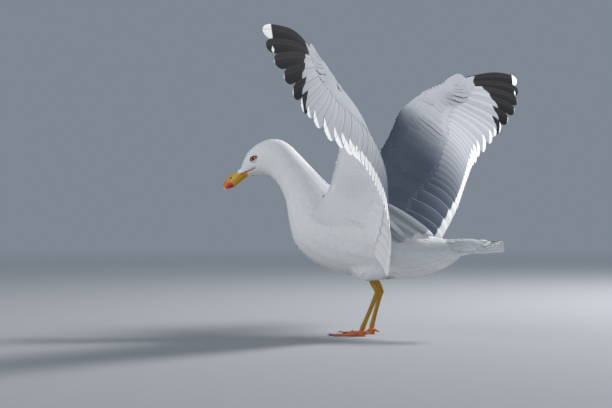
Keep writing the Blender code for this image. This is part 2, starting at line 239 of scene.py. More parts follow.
def mesh_of(name, points, loops, sizes, normals, maps, marks):
    """A mesh from arrays of points and faces, with its corners' normals and UV maps and its points' marks."""
    mesh = bpy.data.meshes.new(name)
    mesh.vertices.add(len(points))
    mesh.vertices.foreach_set("co", np.ascontiguousarray(points, np.float32).ravel())
    mesh.loops.add(len(loops))
    mesh.loops.foreach_set("vertex_index", np.ascontiguousarray(loops, np.int32))
    mesh.polygons.add(len(sizes))
    starts = np.concatenate(([0], np.cumsum(sizes)[:-1])).astype(np.int32)
    mesh.polygons.foreach_set("loop_start", starts)
    mesh.update(calc_edges=True)
    mesh.shade_smooth()
    for title, values in maps.items():
        layer = mesh.uv_layers.new(name=title)
        layer.data.foreach_set("uv", np.ascontiguousarray(values, np.float32).ravel())
    mark_points(mesh, marks)
    mesh.normals_split_custom_set(np.ascontiguousarray(normals, np.float32).reshape(-1, 3))
    return mesh


def tube_faces(rings, points):
    """Quads between rings of as many points each, and the two ends."""
    faces = []
    for ring in range(rings - 1):
        for k in range(points):
            a = ring * points + k
            b = ring * points + (k + 1) % points
            faces.append((a, b, b + points, a + points))
    faces.append(tuple(reversed(range(points))))
    faces.append(tuple(range((rings - 1) * points, rings * points)))
    return faces


def vane_shape(stations, across):
    """One closed thin vane: its faces, and for each place of a station's ring how far across it is, whether
    it is below, and whether it is on an edge. A ring runs outwards above, then back below.
    """
    above = list(across)
    below = list(across[1:-1])[::-1]
    ring = above + below
    faces = [tuple(reversed(face)) for face in tube_faces(stations, len(ring))]
    places = np.array(ring, float)
    under = np.array([0.0] * len(above) + [1.0] * len(below))
    edge = np.isclose(np.abs(places), 1)
    return faces, places, under, edge


def vanes(name, finish, spine, normal, across, outer, shape, bake, inner=None,
          rise=(0, 0), shaft=0.0, crown=0.0, thick=THICKNESS, roll=0.22, marks=None, nodes=()):
    """Joined closed vanes. spine, normal and across are (vane, station, 3); outer and inner are half widths.

    shape lists the places across a station, from -1 at the inner edge to 1 at the outer. rise is how far the
    inner and outer edges stand above the shaft, shaft is its thickness, and crown how far both edges drop, as
    a share of the width. thick is the web's thickness, and roll how far its shading turns to the edges.
    bake is each vane's patch on the baked map: u, v, width and length.
    """
    count, stations = spine.shape[:2]
    inner = outer if inner is None else inner
    u, v, wide, long = (np.broadcast_to(value, count)[:, None, None] for value in bake)
    faces, places, under, edge = vane_shape(stations, shape)
    x = places[None, None, :]
    half = np.where(x < 0, inner[:, :, None], outer[:, :, None]) * MM
    width = x * half
    lift = np.where(x < 0, rise[0], rise[1]) * np.abs(x) ** 1.5 * MM - crown * np.abs(width)
    body = np.where(edge, 0.0, thick / 2)
    body = body + np.where(np.abs(places) < 0.06, shaft / 2, 0.0)
    taper = np.linspace(1.3, 0.45, stations)[None, :, None]
    lift = lift + np.where(under > 0, -1, 1)[None, None, :] * body[None, None, :] * taper * MM
    points = spine[:, :, None, :] + across[:, :, None, :] * width[..., None]
    points = points + normal[:, :, None, :] * lift[..., None]
    ring = len(places)
    ahead = spine[:, 1:] - spine[:, :-1]
    if np.einsum("vsd,vsd->", np.cross(across[:, 1:], ahead), normal[:, 1:]) > 0:
        faces = [tuple(reversed(face)) for face in faces]
    loops = np.concatenate([np.array(face) for face in faces])
    sizes = np.array([len(face) for face in faces])
    every = (loops[None, :] + (np.arange(count) * stations * ring)[:, None]).ravel()
    lower = np.concatenate([
        np.full(len(face), np.mean([under[v % ring] for v in face]) > 0.3) for face in faces
    ])
    lean = across[:, :, None, :] * x[..., None] * roll + normal[:, :, None, :]
    lean = unit(lean).reshape(count, stations * ring, 3)[:, loops]
    lean = lean * np.where(lower, -1, 1)[None, :, None]
    reach = np.linalg.norm(np.diff(spine, axis=1), axis=2).cumsum(axis=1)
    reach = np.concatenate((np.zeros((count, 1)), reach), axis=1)
    share = reach / reach[:, -1:]
    u_mm = np.broadcast_to(width, (count, stations, ring)) / MM
    v_mm = np.broadcast_to(reach[:, :, None], (count, stations, ring)) / MM
    lay = np.stack((u_mm, v_mm), axis=-1).reshape(count, stations * ring, 2)[:, loops]
    place = np.stack(np.broadcast_arrays(u + wide * x / 2, v + long * share[:, :, None]), axis=-1)
    place = place.reshape(count, stations * ring, 2)[:, loops]
    kept = {
        "along": np.repeat(share[:, :, None], ring, axis=2),
        "under": np.broadcast_to(np.where(edge, 0.5, under), (count, stations, ring)),
    }
    for title, values in (marks or {}).items():
        kept[title] = np.broadcast_to(np.broadcast_to(values, count)[:, None, None], (count, stations, ring))
    mesh = mesh_of(
        name, points.reshape(-1, 3), every, np.tile(sizes, count), lean, {"Vane": lay, "OFBake": place}, kept
    )
    add_piece(name, mesh, finish, nodes)


SMALL_PATCH = 0.003  # of the baked map, for a small feather


def strips(count):
    """Patches for long vanes on the baked map: strips side by side."""
    return (np.arange(count) + 0.5) / count, 0.02, 0.9 / count, 0.96


def outline(y, widest, blunt=2.0, root=0.5):
    """A vane's width along its length, as a share of the most: slim at the root, round at the tip."""
    y = np.asarray(y, float)
    tip = np.clip((y - widest) / (1 - widest), 0, 1)
    return (root + (1 - root) * np.clip(y / widest, 0, 1) ** 0.8) * (1 - tip**blunt) ** (1 / blunt) + 0.02


def tip_stations(plain, widest, rounds):
    """Stations along a vane: some plain ones, then closer ones round the tip."""
    rounded = np.sin(np.linspace(0, np.pi / 2, rounds + 1))
    return np.concatenate((np.linspace(0, widest, plain, endpoint=False), widest + (1 - widest) * rounded))


# ---------------------------------------------------------------- finishes

SMOOTH = {"interpolation_type": "SMOOTHSTEP"}
COLOURS = {"data_type": "RGBA"}


def linear(hex_colour):
    channels = [int(hex_colour[k:k + 2], 16) / 255 for k in (1, 3, 5)]
    return (*(c / 12.92 if c <= 0.04045 else ((c + 0.055) / 1.055) ** 2.4 for c in channels), 1)


def add_node(tree, kind, *values, output=None, named=None, **settings):
    """Adds a node with its settings and gives one of its outputs, the first in use unless another is named.

    The values go in order to the node's inputs in use, and named ones to theirs: numbers, hex colours, or
    other nodes' outputs, which are linked.
    """
    node = tree.nodes.new("ShaderNode" + kind)
    for key, value in settings.items():
        setattr(node, key, value)
    pairs = list(zip([socket for socket in node.inputs if socket.enabled], values))
    pairs += [(node.inputs[key], value) for key, value in (named or {}).items()]
    for socket, value in pairs:
        if isinstance(value, bpy.types.NodeSocket):
            tree.links.new(value, socket)
        else:
            socket.default_value = linear(value) if isinstance(value, str) else value
    return node.outputs[output] if output else next(socket for socket in node.outputs if socket.enabled)


def new_finish(name, **constants):
    """A material whose Principled BSDF takes the constants, and the function that adds nodes to it."""
    made = bpy.data.materials.new(name)
    made.use_nodes = True
    for key, value in constants.items():
        made.node_tree.nodes["Principled BSDF"].inputs[key.replace("_", " ")].default_value = value
    return made, functools.partial(add_node, made.node_tree)


def coloured(made, colour, height=None, strength=0.0, depth_mm=0.0):
    """The material with its colour and, from a pattern of heights, its fine relief."""
    tree = made.node_tree
    surface = tree.nodes["Principled BSDF"]
    tree.links.new(colour, surface.inputs["Base Color"])
    if height:
        relief = {"Height": height, "Strength": strength, "Distance": depth_mm * MM}
        tree.links.new(add_node(tree, "Bump", named=relief), surface.inputs["Normal"])
    return made


def mottle(add, size_mm, detail=3.0):
    """Soft noise whose blotches are about this big."""
    return add("TexNoise", add("TexCoord", output="Object"), 1 / (size_mm * MM), detail)


# How far apart a small feather's and a flight feather's ribs are, in mm. Real barbs are less than half as far
# apart, too fine to show at this size.
PLUME_RIBS, FLIGHT_RIBS = 0.9, 1.3


def barbs(add, pitch_mm):
    """Millimetres across a vane and along it, and the wave of its ribs, which run out and towards its tip."""
    across, reach, _ = add("SeparateXYZ", add("UVMap", uv_map="Vane")).node.outputs
    out = add("Math", across, operation="ABSOLUTE")
    line = add("Math", out, -1.4, reach, operation="MULTIPLY_ADD")
    turn = add("Math", line, 2 * math.pi / pitch_mm, operation="MULTIPLY")
    return across, reach, add("Math", turn, operation="SINE")


# The first grey is the mantle's as it looks lit, the second the same grey as it looks in shade; the second
# white is a slightly deeper white. The shade mark mixes each pair: by a random share on the body, and as
# painted shade on the wings, deepest on the arm's front.
WHITE, WHITE_SHADE = "#f4f4f2", "#eeeff0"
GREY, SHADED_GREY = "#abadb2", "#5f6775"


def plumage():
    """Contour feathers: dry keratin that scatters light softly, with no gloss of its own."""
    made, add = new_finish("contour_feather", Roughness=0.9, Specular_IOR_Level=0.1)
    shade, along, greyed, white_end = (
        add("Attribute", output="Fac", attribute_name=title)
        for title in ("shade", "along", "grey", "white_end")
    )
    # The shade mark picks a random tone on the body and paints shade on the wings, mixing each colour towards
    # its shaded copy.
    depth = add("MapRange", shade, 0.0, 1.0, **SMOOTH)
    white = add("Mix", depth, WHITE, WHITE_SHADE, **COLOURS)
    grey = add("Mix", depth, GREY, SHADED_GREY, **COLOURS)
    grey = add("Mix", add("MapRange", along, 0.72, 1.0, 0.0, 0.12, **SMOOTH), grey, "#a4a9b2", **COLOURS)
    blotches = add("Math", mottle(add, 2.5), 0.15, operation="MULTIPLY")
    grey = add("Mix", blotches, grey, SHADED_GREY, **COLOURS)
    base = add("Mix", greyed, white, grey, **COLOURS)
    past = add("Math", along, white_end, operation="ADD")
    base = add("Mix", add("MapRange", past, 1.0, 1.03, **SMOOTH), base, WHITE, **COLOURS)
    return coloured(made, base, barbs(add, PLUME_RIBS)[2], 0.35, 0.04)


def flight_feather():
    """Remiges: stiffer keratin with hardly a gloss, grey with black ends and white tips."""
    made, add = new_finish("flight_feather", Roughness=0.75, Specular_IOR_Level=0.06)
    across, reach, ribs = barbs(add, FLIGHT_RIBS)
    shade, along, under, greyed, black_from, tongue, tip_from, spot_at = (
        add("Attribute", output="Fac", attribute_name=title)
        for title in ("shade", "along", "under", "grey", "black_from", "tongue", "tip_from", "spot_at")
    )
    out = add("Math", across, operation="ABSOLUTE")
    ragged = add("Math", mottle(add, 2.0, 2.0), 5.0, -2.5, operation="MULTIPLY_ADD")
    # On top the grey is the mantle's, mixed towards its shaded copy by the shade mark, which paints shade
    # deepest on the arm's inner feathers. Below, the web is paler and warmer.
    upper = add("Mix", shade, GREY, SHADED_GREY, **COLOURS)
    lower = add("Mix", add("MapRange", along, 0.0, 0.9, **SMOOTH), "#f6f4f2", "#ebe9e7", **COLOURS)
    base = add("Mix", add("MapRange", under, 0.4, 0.6, **SMOOTH), upper, lower, **COLOURS)
    base = add("Mix", greyed, "#f0f0ef", base, **COLOURS)
    # On the inner web a round grey tongue runs into the black, further out below than above.
    hump = add("MapRange", across, 0.0, -18.0)
    falling = add("Math", 1.0, hump, operation="SUBTRACT")
    further = add("Math", under, 4.0, 4.0, operation="MULTIPLY_ADD")
    for factor in (falling, further, tongue):
        hump = add("Math", hump, factor, operation="MULTIPLY")
    # On the outer web the black starts further back.
    outer = add("Math", add("Math", across, 0.0, operation="MAXIMUM"), 1.4, operation="MULTIPLY")
    past = reach
    for operation, value in (("ADD", ragged), ("SUBTRACT", black_from), ("ADD", outer), ("SUBTRACT", hump)):
        past = add("Math", past, value, operation=operation)
    end = add("Math", ragged, 0.25, reach, operation="MULTIPLY_ADD")
    end = add("Math", end, tip_from, operation="SUBTRACT")
    end = add("Math", out, 0.1, end, operation="MULTIPLY_ADD")
    before = add("Math", add("Math", reach, spot_at, operation="SUBTRACT"), operation="ABSOLUTE")
    beside = add("Math", add("Math", across, 8.0, operation="ADD"), operation="ABSOLUTE")
    spot = add("Math", before, beside, operation="ADD")
    for value, low, high, most, colour in (
        (past, -2.5, 2.5, 1.0, "#141417"), (end, -2.0, 2.0, 1.0, "#f2f2f0"),
        (spot, 6.5, 4.5, 1.0, "#f0f0ee"), (out, 1.1, 0.5, 0.25, "#4a4b50"),
    ):
        base = add("Mix", add("MapRange", value, low, high, 0.0, most, **SMOOTH), base, colour, **COLOURS)
    return coloured(made, base, ribs, 0.35, 0.06)


def ball(add, place, centre, near, far, most=1.0):
    """The most within the near distance of a centre, as (forward, left, up), and 0 beyond the far, in mm."""
    apart = add("VectorMath", place, tuple(rows(centre)), operation="DISTANCE")
    return add("MapRange", apart, far * MM, near * MM, 0.0, most, **SMOOTH)


def both_sides(add):
    """Object coordinates with the right side folded onto the left, and how far back and up they are."""
    left, back, up = add("SeparateXYZ", add("TexCoord", output="Object")).node.outputs
    return add("CombineXYZ", add("Math", left, operation="ABSOLUTE"), back, up), back, up


def bill_horn():
    """Bill sheath: smooth, slightly waxy keratin, bright yellow with a red spot at the lower angle."""
    made, add = new_finish(
        "bill_keratin", Roughness=0.36, IOR=1.54, Subsurface_Weight=0.08, Subsurface_Scale=2 * MM
    )
    place, _, _ = both_sides(add)
    wobble = add("Math", mottle(add, 3.0), 3 * MM, -1.5 * MM, operation="MULTIPLY_ADD")
    shifted = add("VectorMath", place, wobble, operation="ADD")
    base = add("Mix", mottle(add, 6.0), "#d9a90f", "#c9970a", **COLOURS)
    # The darker root, the orange round the spot, the spot, and the pale tip.
    for where, centre, near, far, most, colour in (
        (place, (203, 3, 268), 5, 13, 0.4, "#b8920c"), (shifted, (231, 3, 248), 6, 13, 0.75, "#d4561a"),
        (shifted, (225.5, 3, 246), 5, 8, 1.0, "#c8240a"), (place, (239, 0, 241), 2.5, 6.5, 0.8, "#e9dcae"),
    ):
        base = add("Mix", ball(add, where, centre, near, far, most), base, colour, **COLOURS)
    # The nostril's pressed-in hollow is painted dark, as painted shade inside its opening, and the gape's
    # lips are painted red.
    for title, colour in (("painted_nostril_shade", "#3a2408"), ("gape", "#c8481c")):
        base = add("Mix", add("Attribute", output="Fac", attribute_name=title), base, colour, **COLOURS)
    return coloured(made, base, add("TexNoise", place, 1 / (2.5 * MM), 2.0), 0.1, 0.3)


def eye_gloss():
    """A living eye: pale yellow iris with dark flecks round a black pupil, under a wet clear front."""
    made, add = new_finish("wet_eye", Roughness=0.2, Coat_Weight=0.3, Coat_Roughness=0.03, IOR=1.2)
    place, _, _ = both_sides(add)
    front = EYE + EYE_RADIUS * GAZE
    iris = add("Mix", mottle(add, 0.5, 4.0), "#e2d58a", "#b9a650", **COLOURS)
    base = add("Mix", ball(add, place, front, 5.2, 6.0), "#2a1c10", iris, **COLOURS)
    base = add("Mix", ball(add, place, front, 2.7, 3.1), base, "#050505", **COLOURS)
    return coloured(made, base)


def lid_skin():
    """Lids: soft naked skin, finely creased, red at the eye's ring and pale outside it."""
    made, add = new_finish("lid_skin", Roughness=0.5)
    base = add("Mix", mottle(add, 1.0), "#9a2a14", "#6a180c", **COLOURS)
    base = add("Mix", add("Attribute", output="Fac", attribute_name="red"), "#e6e4e0", base, **COLOURS)
    return coloured(made, base, mottle(add, 0.7), 0.4, 0.3)


def leg_skin():
    """Scaled leg skin: dry horny scutes, ochre yellow on the shank and warmer orange on toes and webs."""
    made, add = new_finish("leg_scutes", Roughness=0.5, IOR=1.5)
    place, back, up = both_sides(add)
    cells = add("TexVoronoi", place, 1 / (1.5 * MM), feature="DISTANCE_TO_EDGE")
    rows_up = add("Math", up, 1.6 * MM, operation="PINGPONG")
    rows_toe = add("Math", back, 1.3 * MM, operation="PINGPONG")
    bands = add("Mix", add("MapRange", up, 12 * MM, 16 * MM, **SMOOTH), rows_toe, rows_up)
    groove = add("MapRange", bands, 0.0, 0.5 * MM, **SMOOTH)
    scutes = add("Math", groove, add("MapRange", cells, 0.0, 0.12, **SMOOTH), operation="MULTIPLY")
    base = add("Mix", mottle(add, 5.0), "#c79a12", "#a87c0a", **COLOURS)
    base = add("Mix", add("MapRange", up, 24 * MM, 6 * MM, **SMOOTH), base, "#d8743a", **COLOURS)
    base = add("Mix", scutes, add("Mix", 0.55, base, "#6d3c10", **COLOURS), base, **COLOURS)
    return coloured(made, base, scutes, 0.6, 0.4)


def claw_horn():
    """Claws: dark, smooth horn, mottled a little paler."""
    made, add = new_finish("claw_horn", Roughness=0.38, IOR=1.54)
    return coloured(made, add("Mix", mottle(add, 2.0), "#1c1816", "#3a322a", **COLOURS))


# ---------------------------------------------------------------- skin and lie of the plumage

LINE_STEPS = 8  # places of the body's line to a station
LINE = np.linspace(0, len(BODY) - 1, LINE_STEPS * (len(BODY) - 1) + 1)
MIDDLES = np.array([smooth(range(len(BODY)), [(*t, *b) for t, b in BODY], s) for s in LINE])
LINE_POINTS = rows(np.stack((
    (MIDDLES[:, 0] + MIDDLES[:, 2]) / 2, np.zeros(len(LINE)), (MIDDLES[:, 1] + MIDDLES[:, 3]) / 2,
), axis=1))
LINE_TANGENTS = unit(np.gradient(LINE_POINTS, axis=0))


def nearness(points, reach):
    """How much each place of the body's line counts at each point: most at the nearest, then ever less."""
    apart = np.linalg.norm(points[:, None, :] - LINE_POINTS[None], axis=2)
    return np.exp(-((apart - apart.min(axis=1, keepdims=True)) / reach) ** 2)


def station_of(points):
    """How far along the body a place is, as a station of the table."""
    weight = nearness(points, 8 * MM)
    return (weight * LINE[None]).sum(axis=1) / weight.sum(axis=1)


THIGH_TOP = (104, 92)  # between these heights the feathers turn to lie down the thigh, in mm
THIGH_MIDDLE = -36  # in mm forward
THIGH_LIE = (-0.2, 0, -1.6)


def lie_of(points, normals):
    """The direction in which the feathers lie: back along the body, and down the thighs."""
    flow = unit(np.einsum("pk,kd->pd", nearness(points, 30 * MM), LINE_TANGENTS))
    place = bird(points)
    low = eased(*THIGH_TOP, place[:, 2])
    thigh = low * (np.abs(place[:, 0] - THIGH_MIDDLE) < 40) * (np.abs(place[:, 1]) > 14)
    flow = flow + thigh[:, None] * turned(THIGH_LIE)
    flow -= normals * np.einsum("pd,pd->p", flow, normals)[:, None]
    return unit(flow)


def greyness(points):
    """1 on the mantle and scapulars, 0 on the white head, breast, belly and rump."""
    place = bird(points)
    # The grey's lower edge dips 100 mm back, leaving grey feathers under the scapulars' tips: partly the
    # mantle's own grey, partly painted shade between the scapulars and the wing.
    line = np.interp(place[:, 0], (-125, -100, -60, 0, 50), (172, 165, 186, 205, 216))
    ends = eased(42, 30, place[:, 0]) * eased(-124, -112, place[:, 0])
    return eased(-3, 3, place[:, 2] - line) * ends


def joined_copy(name, nodes, grown=0.0, fill=None):
    """One mesh of copies of CAD nodes, each merged and grown outwards, and of what fills their gaps."""
    whole = bmesh.new()
    if fill:
        fill(whole)
    for node in nodes:
        part = bmesh.new()
        part.from_mesh(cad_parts[node].data)
        bmesh.ops.remove_doubles(part, verts=part.verts, dist=1e-6)
        part.normal_update()
        for vertex in part.verts:
            vertex.co += vertex.normal * grown * MM
        mesh = bpy.data.meshes.new("part")
        part.to_mesh(mesh)
        part.free()
        whole.from_mesh(mesh)
        bpy.data.meshes.remove(mesh)
    mesh = bpy.data.meshes.new(name)
    whole.to_mesh(mesh)
    whole.free()
    return mesh


def apply_modifiers(piece):
    bpy.ops.object.select_all(action="DESELECT")
    bpy.context.view_layer.objects.active = piece
    piece.select_set(True)
    for modifier in list(piece.modifiers):
        bpy.ops.object.modifier_apply(modifier=modifier.name)
    piece.select_set(False)


def remeshed(name, mesh, voxel_mm, smoothing):
    """The mesh made one closed surface of voxels this big, and relaxed as many times."""
    piece = bpy.data.objects.new(name, mesh)
    bpy.context.scene.collection.objects.link(piece)
    remesh = piece.modifiers.new("one_skin", "REMESH")
    remesh.mode = "VOXEL"
    remesh.voxel_size = voxel_mm * MM
    relax = piece.modifiers.new("relax", "SMOOTH")
    relax.factor = 0.5
    relax.iterations = smoothing
    apply_modifiers(piece)
    piece.data.shade_smooth()
    return piece


def points_of(mesh):
    points = np.empty(len(mesh.vertices) * 3, np.float32)
    mesh.vertices.foreach_get("co", points)
    normals = np.empty(len(mesh.vertices) * 3, np.float32)
    mesh.vertex_normals.foreach_get("vector", normals)
    return points.reshape(-1, 3).astype(float), normals.reshape(-1, 3).astype(float)


def coat_depth(points):
    """How far under the coat's surface the skin lies, in mm: least on the face, most on the trunk."""
    return np.interp(station_of(points), (0, 2, HEAD_END, NECK_END, 9), (0.4, 0.6, 0.8, 1.2, 1.7))


# The coverts that hide the tail's root: how far along the tail, and how deep above and below it, in mm.
TAIL_COVER = (
    (-0.3, 17, 26), (-0.1, 15.5, 19), (0.08, 14, 14), (0.28, 12, 11),
    (0.46, 8.5, 8), (0.62, 5, 4.5), (0.72, 1.5, 1.5),
)


def fill_body(form):
    """What the skin covers beside the CAD flesh: the eyes' sockets and the tail's root."""
    for way in SIDES.values():
        place = Matrix.Translation(Vector(rows(EYE * np.array((1, way, 1)))))
        bmesh.ops.create_icosphere(form, subdivisions=3, radius=(EYE_RADIUS - 0.1) * MM, matrix=place)
    rings = []
    stations = range(len(TAIL_COVER))
    steps = np.linspace(0, stations[-1], 19)
    for along, above, below in zip(*(np.interp(steps, stations, row) for row in zip(*TAIL_COVER))):
        ring = []
        for turn in np.linspace(0, 2 * np.pi, 28, endpoint=False):
            across = 0.96 * math.cos(turn)
            deep = above if math.sin(turn) > 0 else below
            height = deep * math.copysign(abs(math.sin(turn)) ** 0.8, math.sin(turn))
            ring.append(form.verts.new(on_tail(across, along, height)))
        rings.append(ring)
    for ring, following in zip(rings, rings[1:]):
        for k in range(len(ring)):
            form.faces.new((ring[k - 1], ring[k], following[k], following[k - 1]))
    form.faces.new(rings[0][::-1])
    form.faces.new(rings[-1])
    bmesh.ops.recalc_face_normals(form, faces=form.faces)


def wing_side(points, normals):
    """Which places lie on the upper side of the nearer wing, and the painted shade on that side's grey there,
    deepest on the arm's front.
    """
    on_top = np.zeros(len(points))
    tone = np.full(len(points), 0.6)
    for side, way in SIDES.items():
        sheet, up = wing_sheet(side)
        count = sheet.shape[0] * sheet.shape[1]
        tree = KDTree(count)
        for k, place in enumerate(sheet.reshape(-1, 3)):
            tree.insert(Vector(place), k)
        tree.balance()
        here = np.flatnonzero(bird(points)[:, 1] * way > 0)
        near = np.array([tree.find(Vector(points[k]))[1] for k in here])
        on_top[here] = np.einsum("nd,nd->n", normals[here], up.reshape(-1, 3)[near]) > -0.4
        number, step = np.divmod(near, sheet.shape[1])
        # The skin there takes the same painted shade as the feathers over it.
        tone[here] = 0.9 * painted_arm_shade(number * SHEET_STEPS, SHEET_ALONG[step])
    return on_top, tone


GROWN = 0.25  # how far the CAD flesh is grown to meet itself, in mm
SKIN_VOXEL = 2.4  # in mm
BODY_ENDS = (7, 3)  # between these distances from the body its skin passes into the wings', in mm
WING_DEPTH = 0.6  # how far the skin is sunk on the wings, in mm
BARE_DEPTH = 1.8  # how much further it is sunk behind the bill, where no feather grows, in mm


def make_skin(finish):
    """One skin for the body, thighs and wings, sunk under the coat."""
    body = ["head", "neck", "trunk", "thigh_left", "thigh_right"]
    wings = [f"wing_{part}_{side}" for side in SIDES for part in ("arm", "hand")]
    skin = remeshed("skin", joined_copy("skin", body + wings, GROWN, fill_body), SKIN_VOXEL, 4)
    points, normals = points_of(skin.data)
    tree = BVHTree.FromPolygons(*polygons_of(joined_copy("body", body, 0, fill_body)))
    apart = np.array([tree.find_nearest(Vector(p))[3] for p in points])
    on_body = eased(*BODY_ENDS, apart / MM)
    depth = coat_depth(points) * on_body + WING_DEPTH * (1 - on_body) + BARE_DEPTH * bare(points)
    points -= normals * (depth * MM)[:, None]
    skin.data.vertices.foreach_set("co", points.astype(np.float32).ravel())
    on_top, tone = wing_side(points, normals)
    grey = np.maximum(greyness(points) * on_body, on_top * (1 - on_body))
    mark_points(skin.data, {"grey": grey, "shade": tone, "along": grey * 0})
    skin.data.update()
    finish_piece(skin, finish, body + wings)
    return skin, tree


def polygons_of(mesh):
    return [v.co.copy() for v in mesh.vertices], [tuple(p.vertices) for p in mesh.polygons]


# ---------------------------------------------------------------- the body's coat

TRIES = 6  # places tried for each feather that would fit
CLOSEST = 0.82  # how near two feathers may grow, as a share of their spacing
CELL = 4 * MM  # of the grid in which near feathers are looked up


def scattered(skin):
    """Places over the skin of the body, no two nearer than their spacing."""
    mesh = skin.data
    mesh.calc_loop_triangles()
    corners = np.array([t.vertices[:] for t in mesh.loop_triangles])
    points, normals = points_of(mesh)
    a, b, c = (points[corners[:, k]] for k in range(3))
    area = np.linalg.norm(np.cross(b - a, c - a), axis=1) / 2
    middles = (a + b + c) / 3
    spacing = spacing_of(middles) * MM
    want = area / spacing**2
    tries = int(want.sum() * TRIES)
    chosen = CHANCE.choice(len(corners), size=tries, p=want / want.sum())
    mix = CHANCE.random((tries, 2))
    over = mix.sum(axis=1) > 1
    mix[over] = 1 - mix[over]
    place = a[chosen] + (b - a)[chosen] * mix[:, :1] + (c - a)[chosen] * mix[:, 1:]
    tilt = unit(sum(normals[corners[chosen, k]] for k in range(3)))
    need = spacing[chosen] * CLOSEST
    grid, kept = {}, []
    for k, (x, y, z) in enumerate(place.tolist()):
        box = tuple(int(part // CELL) for part in (x, y, z))
        reach = int(need[k] // CELL) + 1
        around = itertools.product(*(range(part - reach, part + reach + 1) for part in box))
        near = (other for key in around for other in grid.get(key, ()))
        if all((p - x) ** 2 + (q - y) ** 2 + (r - z) ** 2 >= need[k] ** 2 for p, q, r in near):
            grid.setdefault(box, []).append((x, y, z))
            kept.append(k)
    return place[kept], tilt[kept]


def feather_length(points):
    """The body feathers' length in mm: smallest on the face, longest on the back."""
    length = np.interp(
        station_of(points), (0, 1, 3, HEAD_END, 6, 8, 11, 17), (2.6, 3.1, 4.5, 6, 8.5, 11, 14, 19)
    )
    return length * (1 + 0.35 * greyness(points))


def spacing_of(points):
    """How far apart the body's feathers grow, in mm."""
    return np.maximum(feather_length(points) * 0.27, 1.25) * 1


# How near the eye a feather grows or ends, as a share of the red ring's reach.
EYE_CLEAR = 1.05


def near_eye(points):
    """How far each place is from an eye's middle, as a share of the red ring's reach that way."""
    place = bird(points)
    place[..., 1] = np.abs(place[..., 1])
    off = place - (EYE + EYE_RADIUS * GAZE)
    reach = EYE_RADIUS * (np.array(SLIT) + RING_WIDTH)
    apart = np.sqrt((off @ EYE_LONG / reach[0]) ** 2 + (off @ EYE_TALL / reach[1]) ** 2)
    # Near the head's middle line a place is far from both eyes.
    return np.where(place[..., 1] > 8, apart, 9.0)


def bare(points):
    """True on the naked root of the bill and along the gape, where no feather grows."""
    place = bird(points)
    forward, up = place[..., 0], place[..., 2]
    root = (forward > BARE_FROM) & (up < np.interp(forward, *LORE_EDGE))
    line = np.interp(forward, [spot[0] for spot in GAPE[::-1]], [spot[1] for spot in GAPE[::-1]])
    lips = (forward > GAPE[-1][0] - 0.5) & (forward < GAPE[0][0]) & (np.abs(up - line) < 1.0)
    return root | lips


# Feathers that grow behind this place, in mm forward, lie straight on over the tail's vanes.
TAIL_COAT_END = -206


def make_body_coat(skin, body_tree, finish):
    """The body's small feathers: each grows from the skin and follows it along the lie of the plumage."""
    place, tilt = scattered(skin)
    apart = np.array([body_tree.find_nearest(Vector(p))[3] for p in place]) / MM
    keep = (apart < coat_depth(place) + 2.5) & (near_eye(place) > EYE_CLEAR) & ~bare(place)
    keep &= (bird(place)[:, 0] > TAIL_COAT_END) | (np.abs(tilt[:, 2]) > 0.8)
    place, tilt = place[keep], tilt[keep]
    count = len(place)
    station = station_of(place)
    length = feather_length(place) * CHANCE.uniform(0.85, 1.15, count)
    lie = lie_of(place, tilt)
    sideways = np.cross(tilt, lie)
    lie = unit(lie + sideways * CHANCE.normal(0, 0.07, count)[:, None])
    # A feather in front of the eye stops short of it.
    for share in (0.4, 0.7, 1.0):
        tip = place + lie * (length * share * MM)[:, None]
        length = np.where((near_eye(tip) < EYE_CLEAR) | bare(tip), length * share * 0.75, length)
    y = tip_stations(2, 0.55, 3)
    stations = len(y)
    tree = BVHTree.FromPolygons(*polygons_of(skin.data))
    spine = np.empty((count, stations, 3))
    normal = np.empty((count, stations, 3))
    depth = coat_depth(place)
    height = (0.3 + 0.6 * y[None, :] ** 0.75) * depth[:, None] * CHANCE.uniform(0.97, 1.03, count)[:, None]
    past_end = bird(place)[:, 0] < TAIL_COAT_END
    for s in range(stations):
        target = place + lie * (length * y[s] * MM)[:, None]
        for k in range(count):
            near, facing, _, _ = tree.find_nearest(Vector(target[k]))
            spine[k, s] = target[k] if past_end[k] else near
            normal[k, s] = tilt[k] if past_end[k] else facing
    normal = unit(normal * 0.5 + tilt[:, None, :] * 0.5)
    spine = spine + normal * (height * MM)[..., None]
    across = unit(np.cross(normal, lie[:, None, :]))
    half = length * np.interp(station, (0, HEAD_END, 8, 17), (0.3, 0.3, 0.31, 0.28))
    width = half[:, None] * outline(y, 0.55, 2.0, 0.55)[None]
    grey = (greyness(place + lie * (length * 0.5 * MM)[:, None]) > CHANCE.uniform(0.3, 0.7, count)) * 1.0
    shade = CHANCE.random(count) * np.where(grey > 0.5, 0.25, 1) + 0.4 * grey
    middle = bird(LINE_POINTS[np.rint(station * LINE_STEPS).astype(int)])
    around = np.arctan2(bird(place)[:, 1], bird(place)[:, 2] - middle[:, 2])
    regions = (
        ("head_feathers", "plumage_white", station < HEAD_END),
        ("neck_feathers", "plumage_white", (station >= HEAD_END) & (station < NECK_END + 0.6)),
        ("mantle_feathers", "plumage_grey", (station >= NECK_END + 0.6) & (grey > 0.5)),
        ("trunk_feathers", "plumage_white", (station >= NECK_END + 0.6) & (grey <= 0.5)),
    )
    for name, slot, where in regions:
        low, high = station[where].min(), station[where].max()
        u = 0.03 + 0.94 * (around[where] / (2 * math.pi) + 0.5)
        v = 0.03 + 0.94 * (station[where] - low) / (high - low)
        vanes(
            name, finish, spine[where], normal[where], across[where], width[where],
            (-1, 0, 1), (u, v, SMALL_PATCH, SMALL_PATCH), crown=0.02,
            thick=BODY_THICKNESS, roll=0.08,
            marks={"grey": grey[where], "shade": shade[where]},
        )


# ---------------------------------------------------------------- wings

